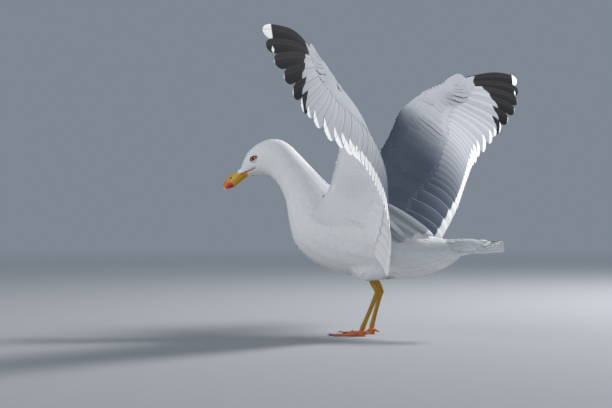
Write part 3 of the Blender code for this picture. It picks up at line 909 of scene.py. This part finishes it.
def wing_line(number):
    """The leading edge and the tip in line with a feather, which may lie between two of the table's."""
    values = [(*edge, *tip) for _, edge, tip in WING]
    line = smooth([station[0] for station in WING], values, number)
    return line[:3], line[3:]


def arm_to_hand(values, number):
    """The arm's value, easing into the hand's over the feathers nearest to the wrist."""
    share = np.clip((np.asarray(number, float) - ARM_FEATHERS + 3) / 6, 0, 1)
    return values["arm"] + (values["hand"] - values["arm"]) * share


SHEET_STEPS = 0.25  # of a feather
SHEET_ALONG = np.linspace(0, 1.02, 52)


def wing_sheet(side):
    """The wing's middle surface: its places and upward normals by feather number and share of the length."""
    numbers = np.arange(0, FEATHERS + SHEET_STEPS / 2, SHEET_STEPS)
    lines = [wing_line(number) for number in numbers]
    edge = np.array([line[0] for line in lines])[:, None, :]
    tip = np.array([line[1] for line in lines])[:, None, :]
    along = SHEET_ALONG[None, :, None]
    sheet = edge + (tip - edge) * along
    outer = np.maximum(0, (numbers - ARM_FEATHERS) / PRIMARIES)[:, None]
    sheet[:, :, 2] += HAND_LIFT[side] * np.maximum(0, (sheet[:, :, 1] - HAND_ROOT) / (HAND_TIP - HAND_ROOT))
    sheet[:, :, 2] += PRIMARY_BOW * outer**2 * 4 * SHEET_ALONG * (1 - SHEET_ALONG)
    span = np.gradient(sheet, axis=0)
    up = unit(np.cross(span, np.broadcast_to(tip - edge, sheet.shape)))
    chord = np.linalg.norm(tip - edge, axis=2)
    most = np.array([smooth(tuple(CAMBER), tuple(CAMBER.values()), number) for number in numbers])
    bulge = most[:, None] * np.sin(np.pi * np.clip(SHEET_ALONG, 0, 1) ** 1.3)
    sheet = sheet + up * (chord * bulge)[:, :, None]
    back = np.gradient(sheet, axis=1)
    up = unit(np.cross(np.gradient(sheet, axis=0), back))
    if side == "right":
        sheet[:, :, 1] *= -1
        up[:, :, 1] *= -1
    return rows(sheet), turned(up)


def on_sheet(sheet, number, along):
    """The place and normal at these feather numbers and shares."""
    points, normals = sheet
    i = np.clip(np.asarray(number, float) / SHEET_STEPS, 0, len(points) - 1.001)
    j = np.clip(np.asarray(along, float) / SHEET_ALONG[1], 0, len(SHEET_ALONG) - 1.001)
    a, b = i.astype(int), j.astype(int)
    p, q = (i - a)[..., None], (j - b)[..., None]
    out = []
    for grid in (points, normals):
        low = grid[a, b] * (1 - q) + grid[a, b + 1] * q
        high = grid[a + 1, b] * (1 - q) + grid[a + 1, b + 1] * q
        out.append(low * (1 - p) + high * p)
    return out[0], unit(out[1])


def flesh_half(number, along):
    """Half the wing's thickness, in mm: round in front, thin where only feathers go on."""
    share = np.asarray(along, float) / arm_to_hand(COVERED, number)
    most = arm_to_hand(FLESH_HALF_THICKNESS, number)
    front = 0.4 + (most - 0.4) * np.sqrt(np.clip(share / 0.2, 0, 1))
    behind = 0.5 + 0.5 * np.cos(np.pi * np.clip((share - 0.2) / 0.8, 0, 1))
    return np.where(share < 0.2, front, BLADE_HALF_THICKNESS + (most - BLADE_HALF_THICKNESS) * behind)


def next_feather(sheet, number, along):
    """The way from one feather to the next one out, at these places of the wing."""
    outer, _ = on_sheet(sheet, np.minimum(number + 0.5, FEATHERS), along)
    inner, _ = on_sheet(sheet, np.maximum(number - 0.5, 0), along)
    return outer - inner


def set_in_wing(sheet, number, along, height):
    """Spines, normals and outward directions of vanes from their paths over the wing, in (vane, station)."""
    point, normal = on_sheet(sheet, number, along)
    spine = point + normal * (height * MM)[..., None]
    ahead = np.gradient(spine, axis=1)
    across = unit(np.cross(normal, ahead))
    flip = np.sign(np.einsum("vsd,vsd->vs", across, next_feather(sheet, number, along)))
    return spine, normal, across * flip[..., None]


# Each group's slot, its feathers, where along them they are widest, and their outer and inner webs' width: as
# a share of the gap between feathers, then the least and the most in mm.
REMIGES = {
    "primaries": ("plumage_black", range(ARM_FEATHERS, FEATHERS), 0.88, ((0.52, 6, 13), (0.95, 10, 26))),
    "secondaries": ("plumage_grey", range(0, ARM_FEATHERS), 0.93, ((0.62, 6.5, 14), (1.15, 11, 26))),
}
REMEX_ROOT = {"arm": 0.3, "hand": 0.12}  # where they leave the flesh, as a share of the wing's depth
SPOTTED = 8  # the primary with a white spot
SPOT_BACK = 23  # how far the spot is from the tip, in mm
SECONDARY_WHITE = 16  # how long the secondaries' white tips are, in mm


def make_remiges(side, sheet, finish):
    """Primaries, then secondaries with the tertials: long vanes, each over the next one out, from above."""
    y = tip_stations(15, 0.88, 6)
    for name, (slot, members, widest, webs) in REMIGES.items():
        feathers = np.array(list(members))
        count = len(feathers)
        primary = np.clip(feathers - ARM_FEATHERS, 0, PRIMARIES - 1)
        hand = name == "primaries"
        number = (feathers + 0.5)[:, None] + 0 * y[None]
        root = arm_to_hand(REMEX_ROOT, feathers)[:, None]
        length = 1 - CHANCE.uniform(0, 0.006, count)[:, None]
        along = root + (length - root) * y[None]
        spine, normal, across = set_in_wing(sheet, number, along, 0 * along)
        gap = np.abs(np.einsum("vsd,vsd->vs", next_feather(sheet, number, along), across)) / MM
        # The outer primaries are cut in towards their tips.
        shape = 1 - 0.28 * eased(0.45, 0.85, y)[None] * (primary[:, None] > 4)
        shape = shape * outline(y, widest, 1.9, 0.75)[None]
        outer, inner = (np.clip(gap * share, least, most) * shape for share, least, most in webs)
        reach = np.linalg.norm(np.diff(spine, axis=1), axis=2).sum(axis=1) / MM
        whole = reach / (1 - root[:, 0])
        black = np.where(hand, (np.array(BLACK_FROM)[primary] - root[:, 0]) * whole, NOWHERE)
        tips = np.where(hand, np.array(WHITE_TIPS)[primary], SECONDARY_WHITE)
        spot = np.where(hand & (primary == SPOTTED), reach - SPOT_BACK, NOWHERE)
        # Painted shade: the upper side's grey drawn deeper on the arm's inner feathers than on the hand.
        vanes(
            f"{name}_vanes_{side}", finish, spine, normal, across, outer,
            (-1, -0.6, -0.25, -0.05, 0, 0.07, 0.45, 1), strips(count), inner, (-0.5, 0.4), 0.7,
            marks={
                "grey": 1, "shade": painted_arm_shade(feathers, 0.6), "black_from": black, "tip_from": reach - tips,
                "tongue": np.where(hand, np.array(TONGUES)[primary], 0), "spot_at": spot,
            },
            nodes=[f"{name}_{side}"],
        )


def painted_arm_shade(number, along):
    """Painted shade on the wing's upper side: its grey drawn deeper where the arm's front lies in shade and
    paler towards the lit hand, from 0 on the hand to 1 on the arm's front.
    """
    return 1 - eased(8.5, 20.5, np.asarray(number, float) + 10 * (np.asarray(along, float) - 0.25))


def covert_rows(face):
    """One face's rows of coverts, back to front: number to a remex, root, tip, width in gaps, lift in mm."""
    if face > 0:
        yield 1.0, {"arm": 0.2, "hand": 0.05}, {"arm": 0.54, "hand": 0.36}, 1.0, 0.35
        yield 1.3, {"arm": 0.13, "hand": 0.02}, {"arm": 0.37, "hand": 0.22}, 0.85, 0.4
    else:
        yield 1.0, {"arm": 0.2, "hand": 0.04}, {"arm": 0.7, "hand": 0.4}, 1.0, 0.35
        yield 1.3, {"arm": 0.12, "hand": 0.02}, {"arm": 0.48, "hand": 0.26}, 0.9, 0.4
    tips = np.linspace(0.29, 0.035, 11)
    for tip in tips:
        length = 0.055 + 0.24 * tip
        hand = 0.55 * tip
        yield (
            1.9 + 1.3 * (0.29 - tip) / 0.29,
            {"arm": max(tip - length, 0.002), "hand": max(hand - length * 0.6, 0.002)},
            {"arm": tip, "hand": hand},
            0.52,
            0.4,
        )


# How much shorter the coverts get towards the outermost primary, as a share of them.
LEADING_BARE = 0.45


def make_coverts(side, sheet, finish):
    """The wing's coverts above and below, each row lying over the roots of the one behind it."""
    y = tip_stations(3, 0.6, 3)
    for face, name, slot in ((1, "upper", "plumage_grey"), (-1, "under", "plumage_white")):
        parts = []
        for rank, (per, root, tip, width, lift) in enumerate(covert_rows(face)):
            count = int(FEATHERS * per)
            base = (np.arange(count) + 0.5 * (rank % 2) + 0.25) / per
            base = np.clip(base + CHANCE.normal(0, 0.06 / per, count), 0.1, FEATHERS - 0.05)
            start = arm_to_hand(root, base) + CHANCE.normal(0, 0.004, count) * (rank > 1)
            end = arm_to_hand(tip, base) + CHANCE.normal(0, 0.006, count)
            end = end - LEADING_BARE * eased(28.2, 29.5, base) * (end - start)
            number = base[:, None] + 0.25 * width * (y[None] - 0.5) * (1 if rank > 1 else 0.4)
            along = np.clip(start[:, None] + (end - start)[:, None] * y[None], 0, 1)
            layer = lift * (0.3 + 0.7 * y[None]) * CHANCE.uniform(0.8, 1.2, count)[:, None]
            settled = eased(0.25, 1.0, y)[None] if rank < 2 and face > 0 else 0.35
            height = face * (flesh_half(number, along) * 0.97 + layer - settled)
            spine, normal, across = set_in_wing(sheet, np.clip(number, 0, FEATHERS), along, height)
            gap = np.linalg.norm(next_feather(sheet, number, along), axis=2) / MM
            half = np.clip(gap.mean(axis=1), 9, 17)[:, None] * width * outline(y, 0.6, 2.2, 0.6)[None]
            parts.append((spine, normal * face, across, half, base, start))
        spine, normal, across, half, base, start = (np.concatenate(column) for column in zip(*parts))
        # Painted shade: the upper coverts' grey and the under coverts' white drawn deeper towards the arm's
        # front, with a little random tone.
        shade = 0.85 * painted_arm_shade(base, start + 0.15) + 0.1 * CHANCE.random(len(spine))
        vanes(
            f"{name}_coverts_{side}", finish, spine, normal, across * face, half, (-1, 0, 1),
            (0.02 + 0.96 * base / FEATHERS, 0.02 + 0.96 * start, 0.004, 0.004),
            rise=(-0.1 * face, 0.1 * face), crown=0.03, marks={"grey": face > 0, "shade": shade},
        )


ALULA_AT = 18.9  # the feather in line with the first alula feather's root


def make_alula(side, sheet, finish):
    """Three stiff feathers on the thumb, along the leading edge past the wrist."""
    y = tip_stations(6, 0.8, 4)
    order = np.arange(3)
    number = ALULA_AT + 0.5 * order[:, None] + (2.6 - 0.5 * order[:, None]) * y[None]
    along = 0.012 + 0.012 * order[:, None] + (0.08 + 0.02 * order[:, None]) * y[None]
    height = flesh_half(number, along) + 0.6 + 0.3 * order[:, None]
    spine, normal, across = set_in_wing(sheet, number, along, height)
    across = unit(np.cross(normal, np.gradient(spine, axis=1)))
    half = np.full((3, 1), 6.0) * outline(y, 0.8, 2.0, 0.6)[None]
    vanes(
        f"alula_{side}", finish, spine, normal, across, half, (-1, -0.4, 0, 0.4, 1),
        strips(3), crown=0.12, marks={"grey": 1, "shade": 0.2},
    )


# ---------------------------------------------------------------- tail

def on_tail(across, along, height):
    """A place over the tail's fan: -1 to 1 across, 0 at its root to 1 at its tips, mm above its middle."""
    width = TAIL_HALF_WIDTHS[0] + (TAIL_HALF_WIDTHS[1] - TAIL_HALF_WIDTHS[0]) * along
    forward = TAIL_ROOT[0] + (TAIL_TIP[0] - TAIL_ROOT[0]) * along + 5 * across**2 * np.maximum(along, 0)
    up = TAIL_ROOT[1] + (TAIL_TIP[1] - TAIL_ROOT[1]) * along
    up = up - TAIL_DROP * np.abs(across) ** 1.6 * np.sqrt(np.maximum(along, 0)) + height
    return rows(np.stack(np.broadcast_arrays(forward, width * across, up), axis=-1))


def fan_frames(across, along, height):
    """Spines, upward normals and sideways directions of the tail's vanes."""
    spine = on_tail(across, along, height)
    beside = on_tail(across + 0.02, along, height) - on_tail(across - 0.02, along, height)
    ahead = np.gradient(spine, axis=1)
    normal = unit(np.cross(ahead, beside))
    normal = normal * np.sign(normal[..., 2:3])
    return spine, normal, unit(np.cross(normal, ahead))


TAIL_STACK = 0.7  # how much higher the fan's middle lies than its edges, in mm


def make_tail(flight):
    """The tail's feathers, side by side in a low fan, the middle ones on top."""
    y = tip_stations(10, 0.9, 6)
    order = np.arange(TAIL_FEATHERS)
    middle = (order + 0.5) / TAIL_FEATHERS * 2 - 1
    across = middle[:, None] + 0 * y[None]
    along = -0.1 + (1.1 - CHANCE.uniform(0, 0.012, TAIL_FEATHERS)[:, None]) * y[None]
    height = (0.5 - np.abs(middle))[:, None] * TAIL_STACK * np.ones_like(y)[None]
    spine, normal, side = fan_frames(across, along, height)
    half = np.interp(y, (0, 0.8, 1), (5, 7.4, 7))[None] * outline(y, 0.9, 2.4, 0.8)[None]
    half = np.repeat(half, TAIL_FEATHERS, axis=0)
    vanes(
        "tail_vanes", flight, spine, normal, side, half,
        (-1, -0.6, -0.25, -0.05, 0, 0.05, 0.25, 0.6, 1), strips(TAIL_FEATHERS),
        crown=0.03, shaft=0.5, roll=0.1, nodes=["tail"],
        marks={
            "grey": 0, "shade": CHANCE.random(TAIL_FEATHERS) * 0.1, "tongue": 0,
            "black_from": NOWHERE, "tip_from": NOWHERE, "spot_at": NOWHERE,
        },
    )


# ---------------------------------------------------------------- head

GAZE = unit(np.array((0.22, 1.0, 0.06)))
EYE_SLIT = math.radians(-24)  # how the eye's long way slopes, down towards the bill
EYE_LONG = unit(np.array((math.cos(EYE_SLIT), -0.22 * math.cos(EYE_SLIT), math.sin(EYE_SLIT))))
EYE_TALL = np.cross(GAZE, EYE_LONG)
SLIT = (0.8, 0.33)  # half the eye's opening along and across, in radians round the eyeball
RING_WIDTH = 0.2
# The line of the gape behind the bill, as (forward, up).
GAPE = ((197, 269.2), (190, 270.5), (182.5, 272.6), (176, 275), (171.5, 276.4))
# The bill's bare root: how far back it goes, and the feathers' lower edge above it, as forwards and ups.
BARE_FROM = 190
LORE_EDGE = ((190, 209.9), (270.4, 267.3))


def make_eyes(finish, lid_finish, plumes):
    """The eyeballs, turned to where the bird looks, each with its lids."""
    for side, way in SIDES.items():
        bpy.ops.object.select_all(action="DESELECT")
        mirrored = np.array((1, way, 1))
        bpy.ops.mesh.primitive_uv_sphere_add(segments=48, ring_count=32, radius=EYE_RADIUS * MM)
        eye = bpy.context.object
        eye.name = f"eyeball_{side}"
        turn = Vector(turned(GAZE * mirrored)).to_track_quat("Z", "Y").to_matrix().to_4x4()
        eye.data.transform(Matrix.Translation(Vector(rows(EYE * mirrored))) @ turn)
        eye.data.shade_smooth()
        finish_piece(eye, finish, [f"eye_{side}"])
        make_lids(side, mirrored, lid_finish, plumes)


def corner_rise(turn, spread):
    """How much further the lids stand out at the slit's two corners, in mm."""
    return 1.3 * math.cos(turn) ** 4 * eased(0.7, 0.3, spread)


def lid_place(turn, spread, radius):
    """A place round the eye: its turn from the slit's long way, how far out in radians, its radius in mm."""
    long, tall = math.cos(turn), math.sin(turn)
    out = long * (SLIT[0] + spread) * EYE_LONG + tall * (SLIT[1] + spread) * EYE_TALL
    reach = np.linalg.norm(out)
    direction = math.cos(reach) * GAZE + math.sin(reach) * out / reach
    return EYE + direction * radius


# Across a lid from inside the slit outwards: how far out in radians, and how far above the eyeball in mm.
LID = (
    (-0.02, -0.5), (-0.02, 0.15), (0.04, 0.5), (0.11, 0.6), (0.18, 0.5),
    (0.22, 0.3), (0.32, 0.3), (0.46, 0.25), (0.62, 0.1), (0.7, -0.6),
)


def make_lids(side, mirrored, finish, plumes):
    """The lids: a red ring round the slit and white skin outside it, with the face's smallest feathers."""
    turns = 72
    points, red, faces = [], [], []
    for k in range(turns):
        turn = 2 * math.pi * k / turns
        for spread, proud in LID:
            points.append(lid_place(turn, spread, EYE_RADIUS + proud + corner_rise(turn, spread)) * mirrored)
            red.append(1.0 if spread < RING_WIDTH else 0.0)
    across = len(LID)
    for k in range(turns):
        for j in range(across - 1):
            a, b = k * across + j, (k + 1) % turns * across + j
            faces.append((a, b, b + 1, a + 1))
    mesh = add_shell(f"eyelids_{side}", finish, rows(points), faces, {"red": red})
    if Vector(turned(GAZE * mirrored)).dot(mesh.polygons[3].normal) < 0:
        mesh.flip_normals()
    roots = []
    for row, spread in enumerate(np.arange(RING_WIDTH + 0.05, 0.74, 0.09)):
        count = int(26 + 34 * spread)
        for k in range(count):
            turn = 2 * math.pi * (k + 0.5 * (row % 2)) / count
            roots.append(lid_place(turn, spread, EYE_RADIUS + 0.25 + corner_rise(turn, spread)) * mirrored)
    roots = rows(np.array(roots))
    normals = unit(roots - rows(EYE * mirrored))
    small_feathers(f"eyelid_feathers_{side}", roots, normals, 2.3, plumes)


def small_feathers(name, roots, normals, length_mm, finish):
    """The face's smallest feathers, straight and flat, which stop short of the eye."""
    lie = lie_of(roots, normals)
    count = len(roots)
    length = length_mm * CHANCE.uniform(0.85, 1.15, count)
    for share in (0.4, 0.7, 1.0):
        tip = roots + lie * (length * share * MM)[:, None]
        length = np.where(near_eye(tip) < 1.02, length * share * 0.6, length)
    keep = length > 0.5
    roots, normals, lie, length = roots[keep], normals[keep], lie[keep], length[keep]
    count = len(roots)
    y = tip_stations(2, 0.55, 3)
    bend = 0.04 * (length[:, None] * y[None]) ** 2
    spine = roots[:, None] + lie[:, None] * (length[:, None] * y[None] * MM)[..., None]
    spine = spine + normals[:, None] * ((0.1 + 0.35 * y[None] - bend) * MM)[..., None]
    normal = np.repeat(normals[:, None], len(y), axis=1)
    across = unit(np.cross(normal, lie[:, None, :]))
    half = 0.34 * length_mm * outline(y, 0.55, 2.0, 0.55)[None] * np.ones((count, 1))
    place = bird(roots)
    u, v = (0.5 + 0.45 * (place[:, k] - place[:, k].mean()) / np.ptp(place[:, k]) for k in (0, 2))
    vanes(
        name, finish, spine, normal, across, half, (-1, 0, 1),
        (u, v, SMALL_PATCH, SMALL_PATCH), crown=0.1, marks={"grey": 0, "shade": CHANCE.random(count)},
    )


# Its station, half its length in stations, and how far up the side and half its height in degrees.
NOSTRIL = (2.7, 0.33, 36, 9)


BILL_END = len(BILL) - 1
BILL_BACK = 12  # how far back a station goes before the bill's root, in mm


def bill_place(half, station, turn):
    """A place on half the bill, by its station and its turn from the left cutting edge over to the right."""
    values = [(*ridge, *edge, *low, width) for ridge, edge, low, width in BILL]
    inside = min(max(station, 0), BILL_END)
    ridge_f, ridge_u, edge_f, edge_u, low_f, low_u, width = smooth(range(len(BILL)), values, inside)
    back = max(-station, 0) * BILL_BACK
    rise, side = math.sin(turn) ** 0.92, math.cos(turn)
    far = (ridge_f, ridge_u) if half == "upper" else (low_f, low_u)
    forward = edge_f + (far[0] - edge_f) * rise - back
    up = edge_u + (far[1] - edge_u) * rise + back * 0.3
    left = side * ((width + 0.62 * back) if half == "upper" else (width * 0.92 + 0.6 * back))
    if half == "upper":
        up -= 0.35 * abs(side) ** 6
    past = station - BILL_END
    place = np.array((forward, left, up))
    if past > 0:
        tip = BILL_TIP if half == "upper" else BILL_LOWER_TIP
        shrink = 1 - math.sqrt(max(0, 1 - past**2))
        place = place + (np.array((tip[0], 0, tip[1])) - place) * min(shrink, 0.985)
    return place


def make_bill(finish):
    """The bill's two sheaths, from inside the face to the hooked tip, with the nostrils pressed in."""
    stations = np.concatenate((np.linspace(-0.6, BILL_END, 48), BILL_END + np.linspace(0, 1, 9)[1:]))
    turns = 32
    for half in ("upper", "lower"):
        points, painted_nostril_shade, gape = [], [], []
        for station in stations:
            for step in range(turns + 1):
                turn = math.pi * step / turns
                degrees = math.degrees(min(turn, math.pi - turn))
                place = bill_place(half, station, turn)
                beside, half_long, above, half_high = NOSTRIL
                apart = ((station - beside) / half_long) ** 2 + ((degrees - above) / half_high) ** 2
                # Pressed in at the nostril, and painted dark there as painted shade.
                deep = min(max(0, 1 - apart) * 2.5, 1) if half == "upper" else 0
                place[1] *= 1 - 0.2 * deep
                points.append(place)
                painted_nostril_shade.append(deep)
                gape.append(float(eased(16, 5, degrees) * eased(0.9, 0.1, station)))
        add_shell(
            f"bill_{half}_sheath", finish, rows(points), tube_faces(len(stations), turns + 1),
            {"painted_nostril_shade": painted_nostril_shade, "gape": gape}, [f"bill_{half}"], math.radians(50),
        )


LORE_REACH = 211  # how far forward the feathers grow on the ridge, in mm
BILL_CORE = (200, 0, 262)  # inside the bill's root


def make_lores(finish):
    """Feathers that reach over the root of the upper bill: a wedge on each side, and the ridge's own edge."""
    roots, normals = [], []
    for row, station in enumerate(np.arange(-0.55, 1.2, 0.1)):
        for k in range(44):
            turn = math.pi * (k + 0.5 * (row % 2) + 0.5) / 45
            place = bill_place("upper", station, turn)
            if place[0] > LORE_REACH or place[2] < np.interp(place[0], *LORE_EDGE) + 0.2:
                continue
            ahead = bill_place("upper", station + 0.05, turn) - place
            around = bill_place("upper", station, turn + 0.02) - place
            normal = unit(np.cross(around, ahead))
            normal = normal * np.sign(normal @ (place - np.array(BILL_CORE)))
            roots.append(place)
            normals.append(normal)
    small_feathers("lore_feathers", rows(np.array(roots)), turned(np.array(normals)), 2.5, finish)


LIP, LIP_PROUD = 0.75, 0.55  # half the lips' thickness, and how far their middle is off the skin, in mm


def make_gape(skin, finish):
    """The soft lips that run on behind the bill, red, in a thin line on each side of the face."""
    tree = BVHTree.FromPolygons(*polygons_of(skin.data))
    tube = 10
    for side, way in SIDES.items():
        line = []
        for place in np.linspace(0, len(GAPE) - 1, 22):
            forward, up = smooth(range(len(GAPE)), GAPE, place)
            # Dropped on the face from beside it.
            start = Vector(rows((forward, 60 * way, up)))
            hit = tree.ray_cast(start, Vector((-way, 0, 0)))[0]
            if hit is not None:
                line.append(np.array(hit) + np.array((LIP_PROUD * way, 0, 0)) * MM)
        line = np.array(line)
        steps = len(line)
        ahead = unit(np.gradient(line, axis=0))
        points = []
        for k in range(steps):
            out = unit(np.array((way, 0, 0)) - ahead[k] * ahead[k][0] * way)
            up = np.cross(ahead[k], out)
            thick = LIP * min(1, (steps - 1 - k) / 5 + 0.15)
            for j in range(tube):
                turn = 2 * math.pi * j / tube
                points.append(line[k] + (out * math.cos(turn) * 0.8 + up * math.sin(turn)) * thick * MM)
        marks = {"painted_nostril_shade": np.zeros(len(points)), "gape": np.ones(len(points))}
        add_shell(f"gape_{side}", finish, points, tube_faces(steps, tube), marks)


# ---------------------------------------------------------------- scapulars

# The left side's bundles: how many, the first one's and the last one's root, then their tips, and their arch.
SCAPULARS = (
    (7, (-43, 53, 191), (-50, 50, 202), (-103, 47, 151), (-116, 44, 157), 6),
    (13, (-44, 49, 197), (-62, 32, 217), (-121, 46, 160), (-145, 27, 164), 4.5),
)
SCAPULAR_REACH = {"left": 1, "right": 0.6}
SCAPULAR_LIFT = {"left": 0, "right": -9}  # in mm
SCAPULAR_HALF_WIDTH = 7.5


def make_scapulars(finish):
    """The long shoulder feathers: two bundles a side, which fall back over the wing's root, tipped white."""
    y = tip_stations(7, 0.8, 4)
    for side, way in SIDES.items():
        spines, normals, halves = [], [], []
        for count, first_root, last_root, first_tip, last_tip, arch in SCAPULARS:
            order = np.linspace(0, 1, count)[:, None]
            root = np.array(first_root) * (1 - order) + np.array(last_root) * order
            tip = np.array(first_tip) * (1 - order) + np.array(last_tip) * order
            tip = root + (tip - root) * SCAPULAR_REACH[side] + CHANCE.normal(0, 1.2, (count, 3))
            out = np.concatenate((0 * order, 0.8 - 0.3 * order, 0.6 + 0.26 * order), axis=1)
            spine = root[:, None] + (tip - root)[:, None] * y[None, :, None]
            bow = SCAPULAR_REACH[side] ** 2 * arch * np.sin(np.pi * y**0.8)[None, :, None]
            bow = bow + CHANCE.normal(0, 0.5, (count, 1, 1))
            spine = spine + out[:, None] * bow
            spine[..., 2] += SCAPULAR_LIFT[side]
            spine[..., 1] *= way
            out[:, 1] *= way
            ahead = unit(np.gradient(rows(spine), axis=1))
            facing = turned(out)[:, None] - ahead * np.einsum("vd,vsd->vs", turned(out), ahead)[..., None]
            spines.append(rows(spine))
            normals.append(unit(facing))
            halves.append(SCAPULAR_HALF_WIDTH * outline(y, 0.75, 1.7, 0.6)[None] * np.ones((count, 1)))
        spine, normal, half = (np.concatenate(column) for column in (spines, normals, halves))
        across = unit(np.cross(normal, np.gradient(spine, axis=1)))
        count = len(spine)
        vanes(
            f"scapulars_{side}", finish, spine, normal, across, half,
            (-1, -0.5, -0.06, 0.06, 0.5, 1), strips(count), crown=0.22,
            marks={
                "grey": CHANCE.uniform(0.3, 0.85, count), "shade": 0.7 * CHANCE.random(count) ** 3,
                "white_end": 0.1 + 0.05 * CHANCE.random(count),
            },
        )


# ---------------------------------------------------------------- legs

# Where the bare leg leaves the thigh and where it meets the toes, as (forward, up).
LEG_ENDS = {"left": ((-42, 87), (-23.5, 13)), "right": ((-28, 87), (-19.5, 13))}
LEG_LEFT = 27.7  # how far from the middle each leg stands, in mm
LEG_GROWN = 0.16  # how far the leg's CAD pieces are grown to meet each other, in mm
LEG_VOXEL, CLAW_VOXEL = 0.55, 0.3  # in mm


def make_legs(finish, horn):
    """Each leg's bare skin as one piece, from inside the thigh to the toes, with its claws apart."""
    for side, way in SIDES.items():
        nodes = [f"{part}_{side}" for part in ("shank", "tarsus", "foot", "hind_toe")]
        knee, ankle = LEG_ENDS[side]
        left = LEG_LEFT * way
        joints = (
            ((knee[0], left, knee[1] - 2), (knee[0] + 6, left * 1.08, knee[1] + 14), 4.1),
            ((ankle[0] - 0.5, left, ankle[1] + 1), (ankle[0] + 1.5, left, ankle[1] - 5), 4.0),
        )

        def fill(form):
            for start, end, radius in joints:
                start, end = (Vector(place) for place in rows((start, end)))
                along = end - start
                turn = along.to_track_quat("Z", "Y").to_matrix().to_4x4()
                bmesh.ops.create_cone(
                    form, cap_ends=True, segments=20, radius1=radius * MM, radius2=radius * MM,
                    depth=along.length, matrix=Matrix.Translation((start + end) / 2) @ turn,
                )

        leg = remeshed(f"leg_skin_{side}", joined_copy("leg", nodes, LEG_GROWN, fill), LEG_VOXEL, 3)
        finish_piece(leg, finish, nodes)
        for toe in (2, 3, 4):
            node = f"claw_{side}_{toe}"
            claw = remeshed(f"claw_horn_{side}_{toe}", joined_copy("claw", [node]), CLAW_VOXEL, 2)
            finish_piece(claw, horn, [node])


# ---------------------------------------------------------------- studio

DISTANCE = 3.0  # of the camera and the lights, in metres
LOOK_AT = Vector((0.0309, ORIGIN_Y - 0.0747, 0.216))
LIT_AT = Vector((0, 0, 0.22))
CAMERA_AZIMUTH = 112.5
LENS = 106.9


def turn_to(data, target, azimuth, elevation):
    """Adds a camera or a light round a place, at these degrees, turned to it."""
    turn, rise = math.radians(azimuth), math.radians(elevation)
    back = Vector((math.sin(turn) * math.cos(rise), -math.cos(turn) * math.cos(rise), math.sin(rise)))
    added = bpy.data.objects.new(data.name, data)
    bpy.context.scene.collection.objects.link(added)
    added.location = target + back * DISTANCE
    added.rotation_euler = (-back).to_track_quat("-Z", "Y").to_euler()
    return added


def make_camera():
    data = bpy.data.cameras.new("camera")
    data.lens = LENS
    bpy.context.scene.camera = turn_to(data, LOOK_AT, CAMERA_AZIMUTH, 0)


BACKDROP = "#7f8893"
FLOOR_FADE = (0.6, 6.0)  # how far off the floor starts to fade, and where it is all backdrop, in metres
# Each light's name, azimuth and elevation in degrees, width in metres and power in watts: the key light from
# the right and behind, a wide fill from the left in front, and a low open sky from the left behind.
LIGHTS = (("key", 233, 34, 0.8, 112), ("fill", 48, 14, 3.0, 48), ("open_sky", 152, 4, 3.0, 11))


def make_studio():
    """A wide matt floor that fades far off into the backdrop's colour, under three soft lights."""
    world = bpy.data.worlds.new("studio")
    world.use_nodes = True
    background = world.node_tree.nodes["Background"]
    background.inputs["Color"].default_value = linear(BACKDROP)
    background.inputs["Strength"].default_value = 1.0
    bpy.context.scene.world = world
    bpy.context.scene.view_settings.view_transform = "Standard"
    bpy.ops.object.select_all(action="DESELECT")
    bpy.ops.mesh.primitive_circle_add(vertices=64, radius=60, fill_type="NGON", location=(0, 0, 0))
    floor = bpy.context.object
    floor.name = "floor"
    made, add = new_finish("matt_floor", Roughness=0.9)
    place = add("TexCoord", output="Object")
    grain = add("TexNoise", place, 1 / (25 * MM), 5.0)
    coloured(made, add("Mix", grain, "#a9abae", "#a2a4a7", **COLOURS))
    nodes = made.node_tree.nodes
    far_off = add("MapRange", add("VectorMath", place, operation="LENGTH"), *FLOOR_FADE, **SMOOTH)
    fade = add("MixShader", far_off, nodes["Principled BSDF"].outputs[0], add("Emission", BACKDROP, 1.0))
    made.node_tree.links.new(fade, nodes["Material Output"].inputs["Surface"])
    floor.data.materials.append(made)
    for name, azimuth, elevation, width, power in LIGHTS:
        light = bpy.data.lights.new(name, "AREA")
        light.size = width
        light.energy = power
        turn_to(light, LIT_AT, azimuth, elevation)


# ---------------------------------------------------------------- all of it

def main():
    make_camera()
    make_studio()
    plumes = plumage()
    flight = flight_feather()
    skin, body_tree = make_skin(plumes)
    make_body_coat(skin, body_tree, plumes)
    for side in SIDES:
        sheet = wing_sheet(side)
        make_remiges(side, sheet, flight)
        make_coverts(side, sheet, plumes)
        make_alula(side, sheet, plumes)
    make_tail(flight)
    lids = lid_skin()
    make_scapulars(plumes)
    make_eyes(eye_gloss(), lids, plumes)
    horn = bill_horn()
    make_bill(horn)
    make_lores(plumes)
    make_gape(skin, horn)
    make_legs(leg_skin(), claw_horn())


main()
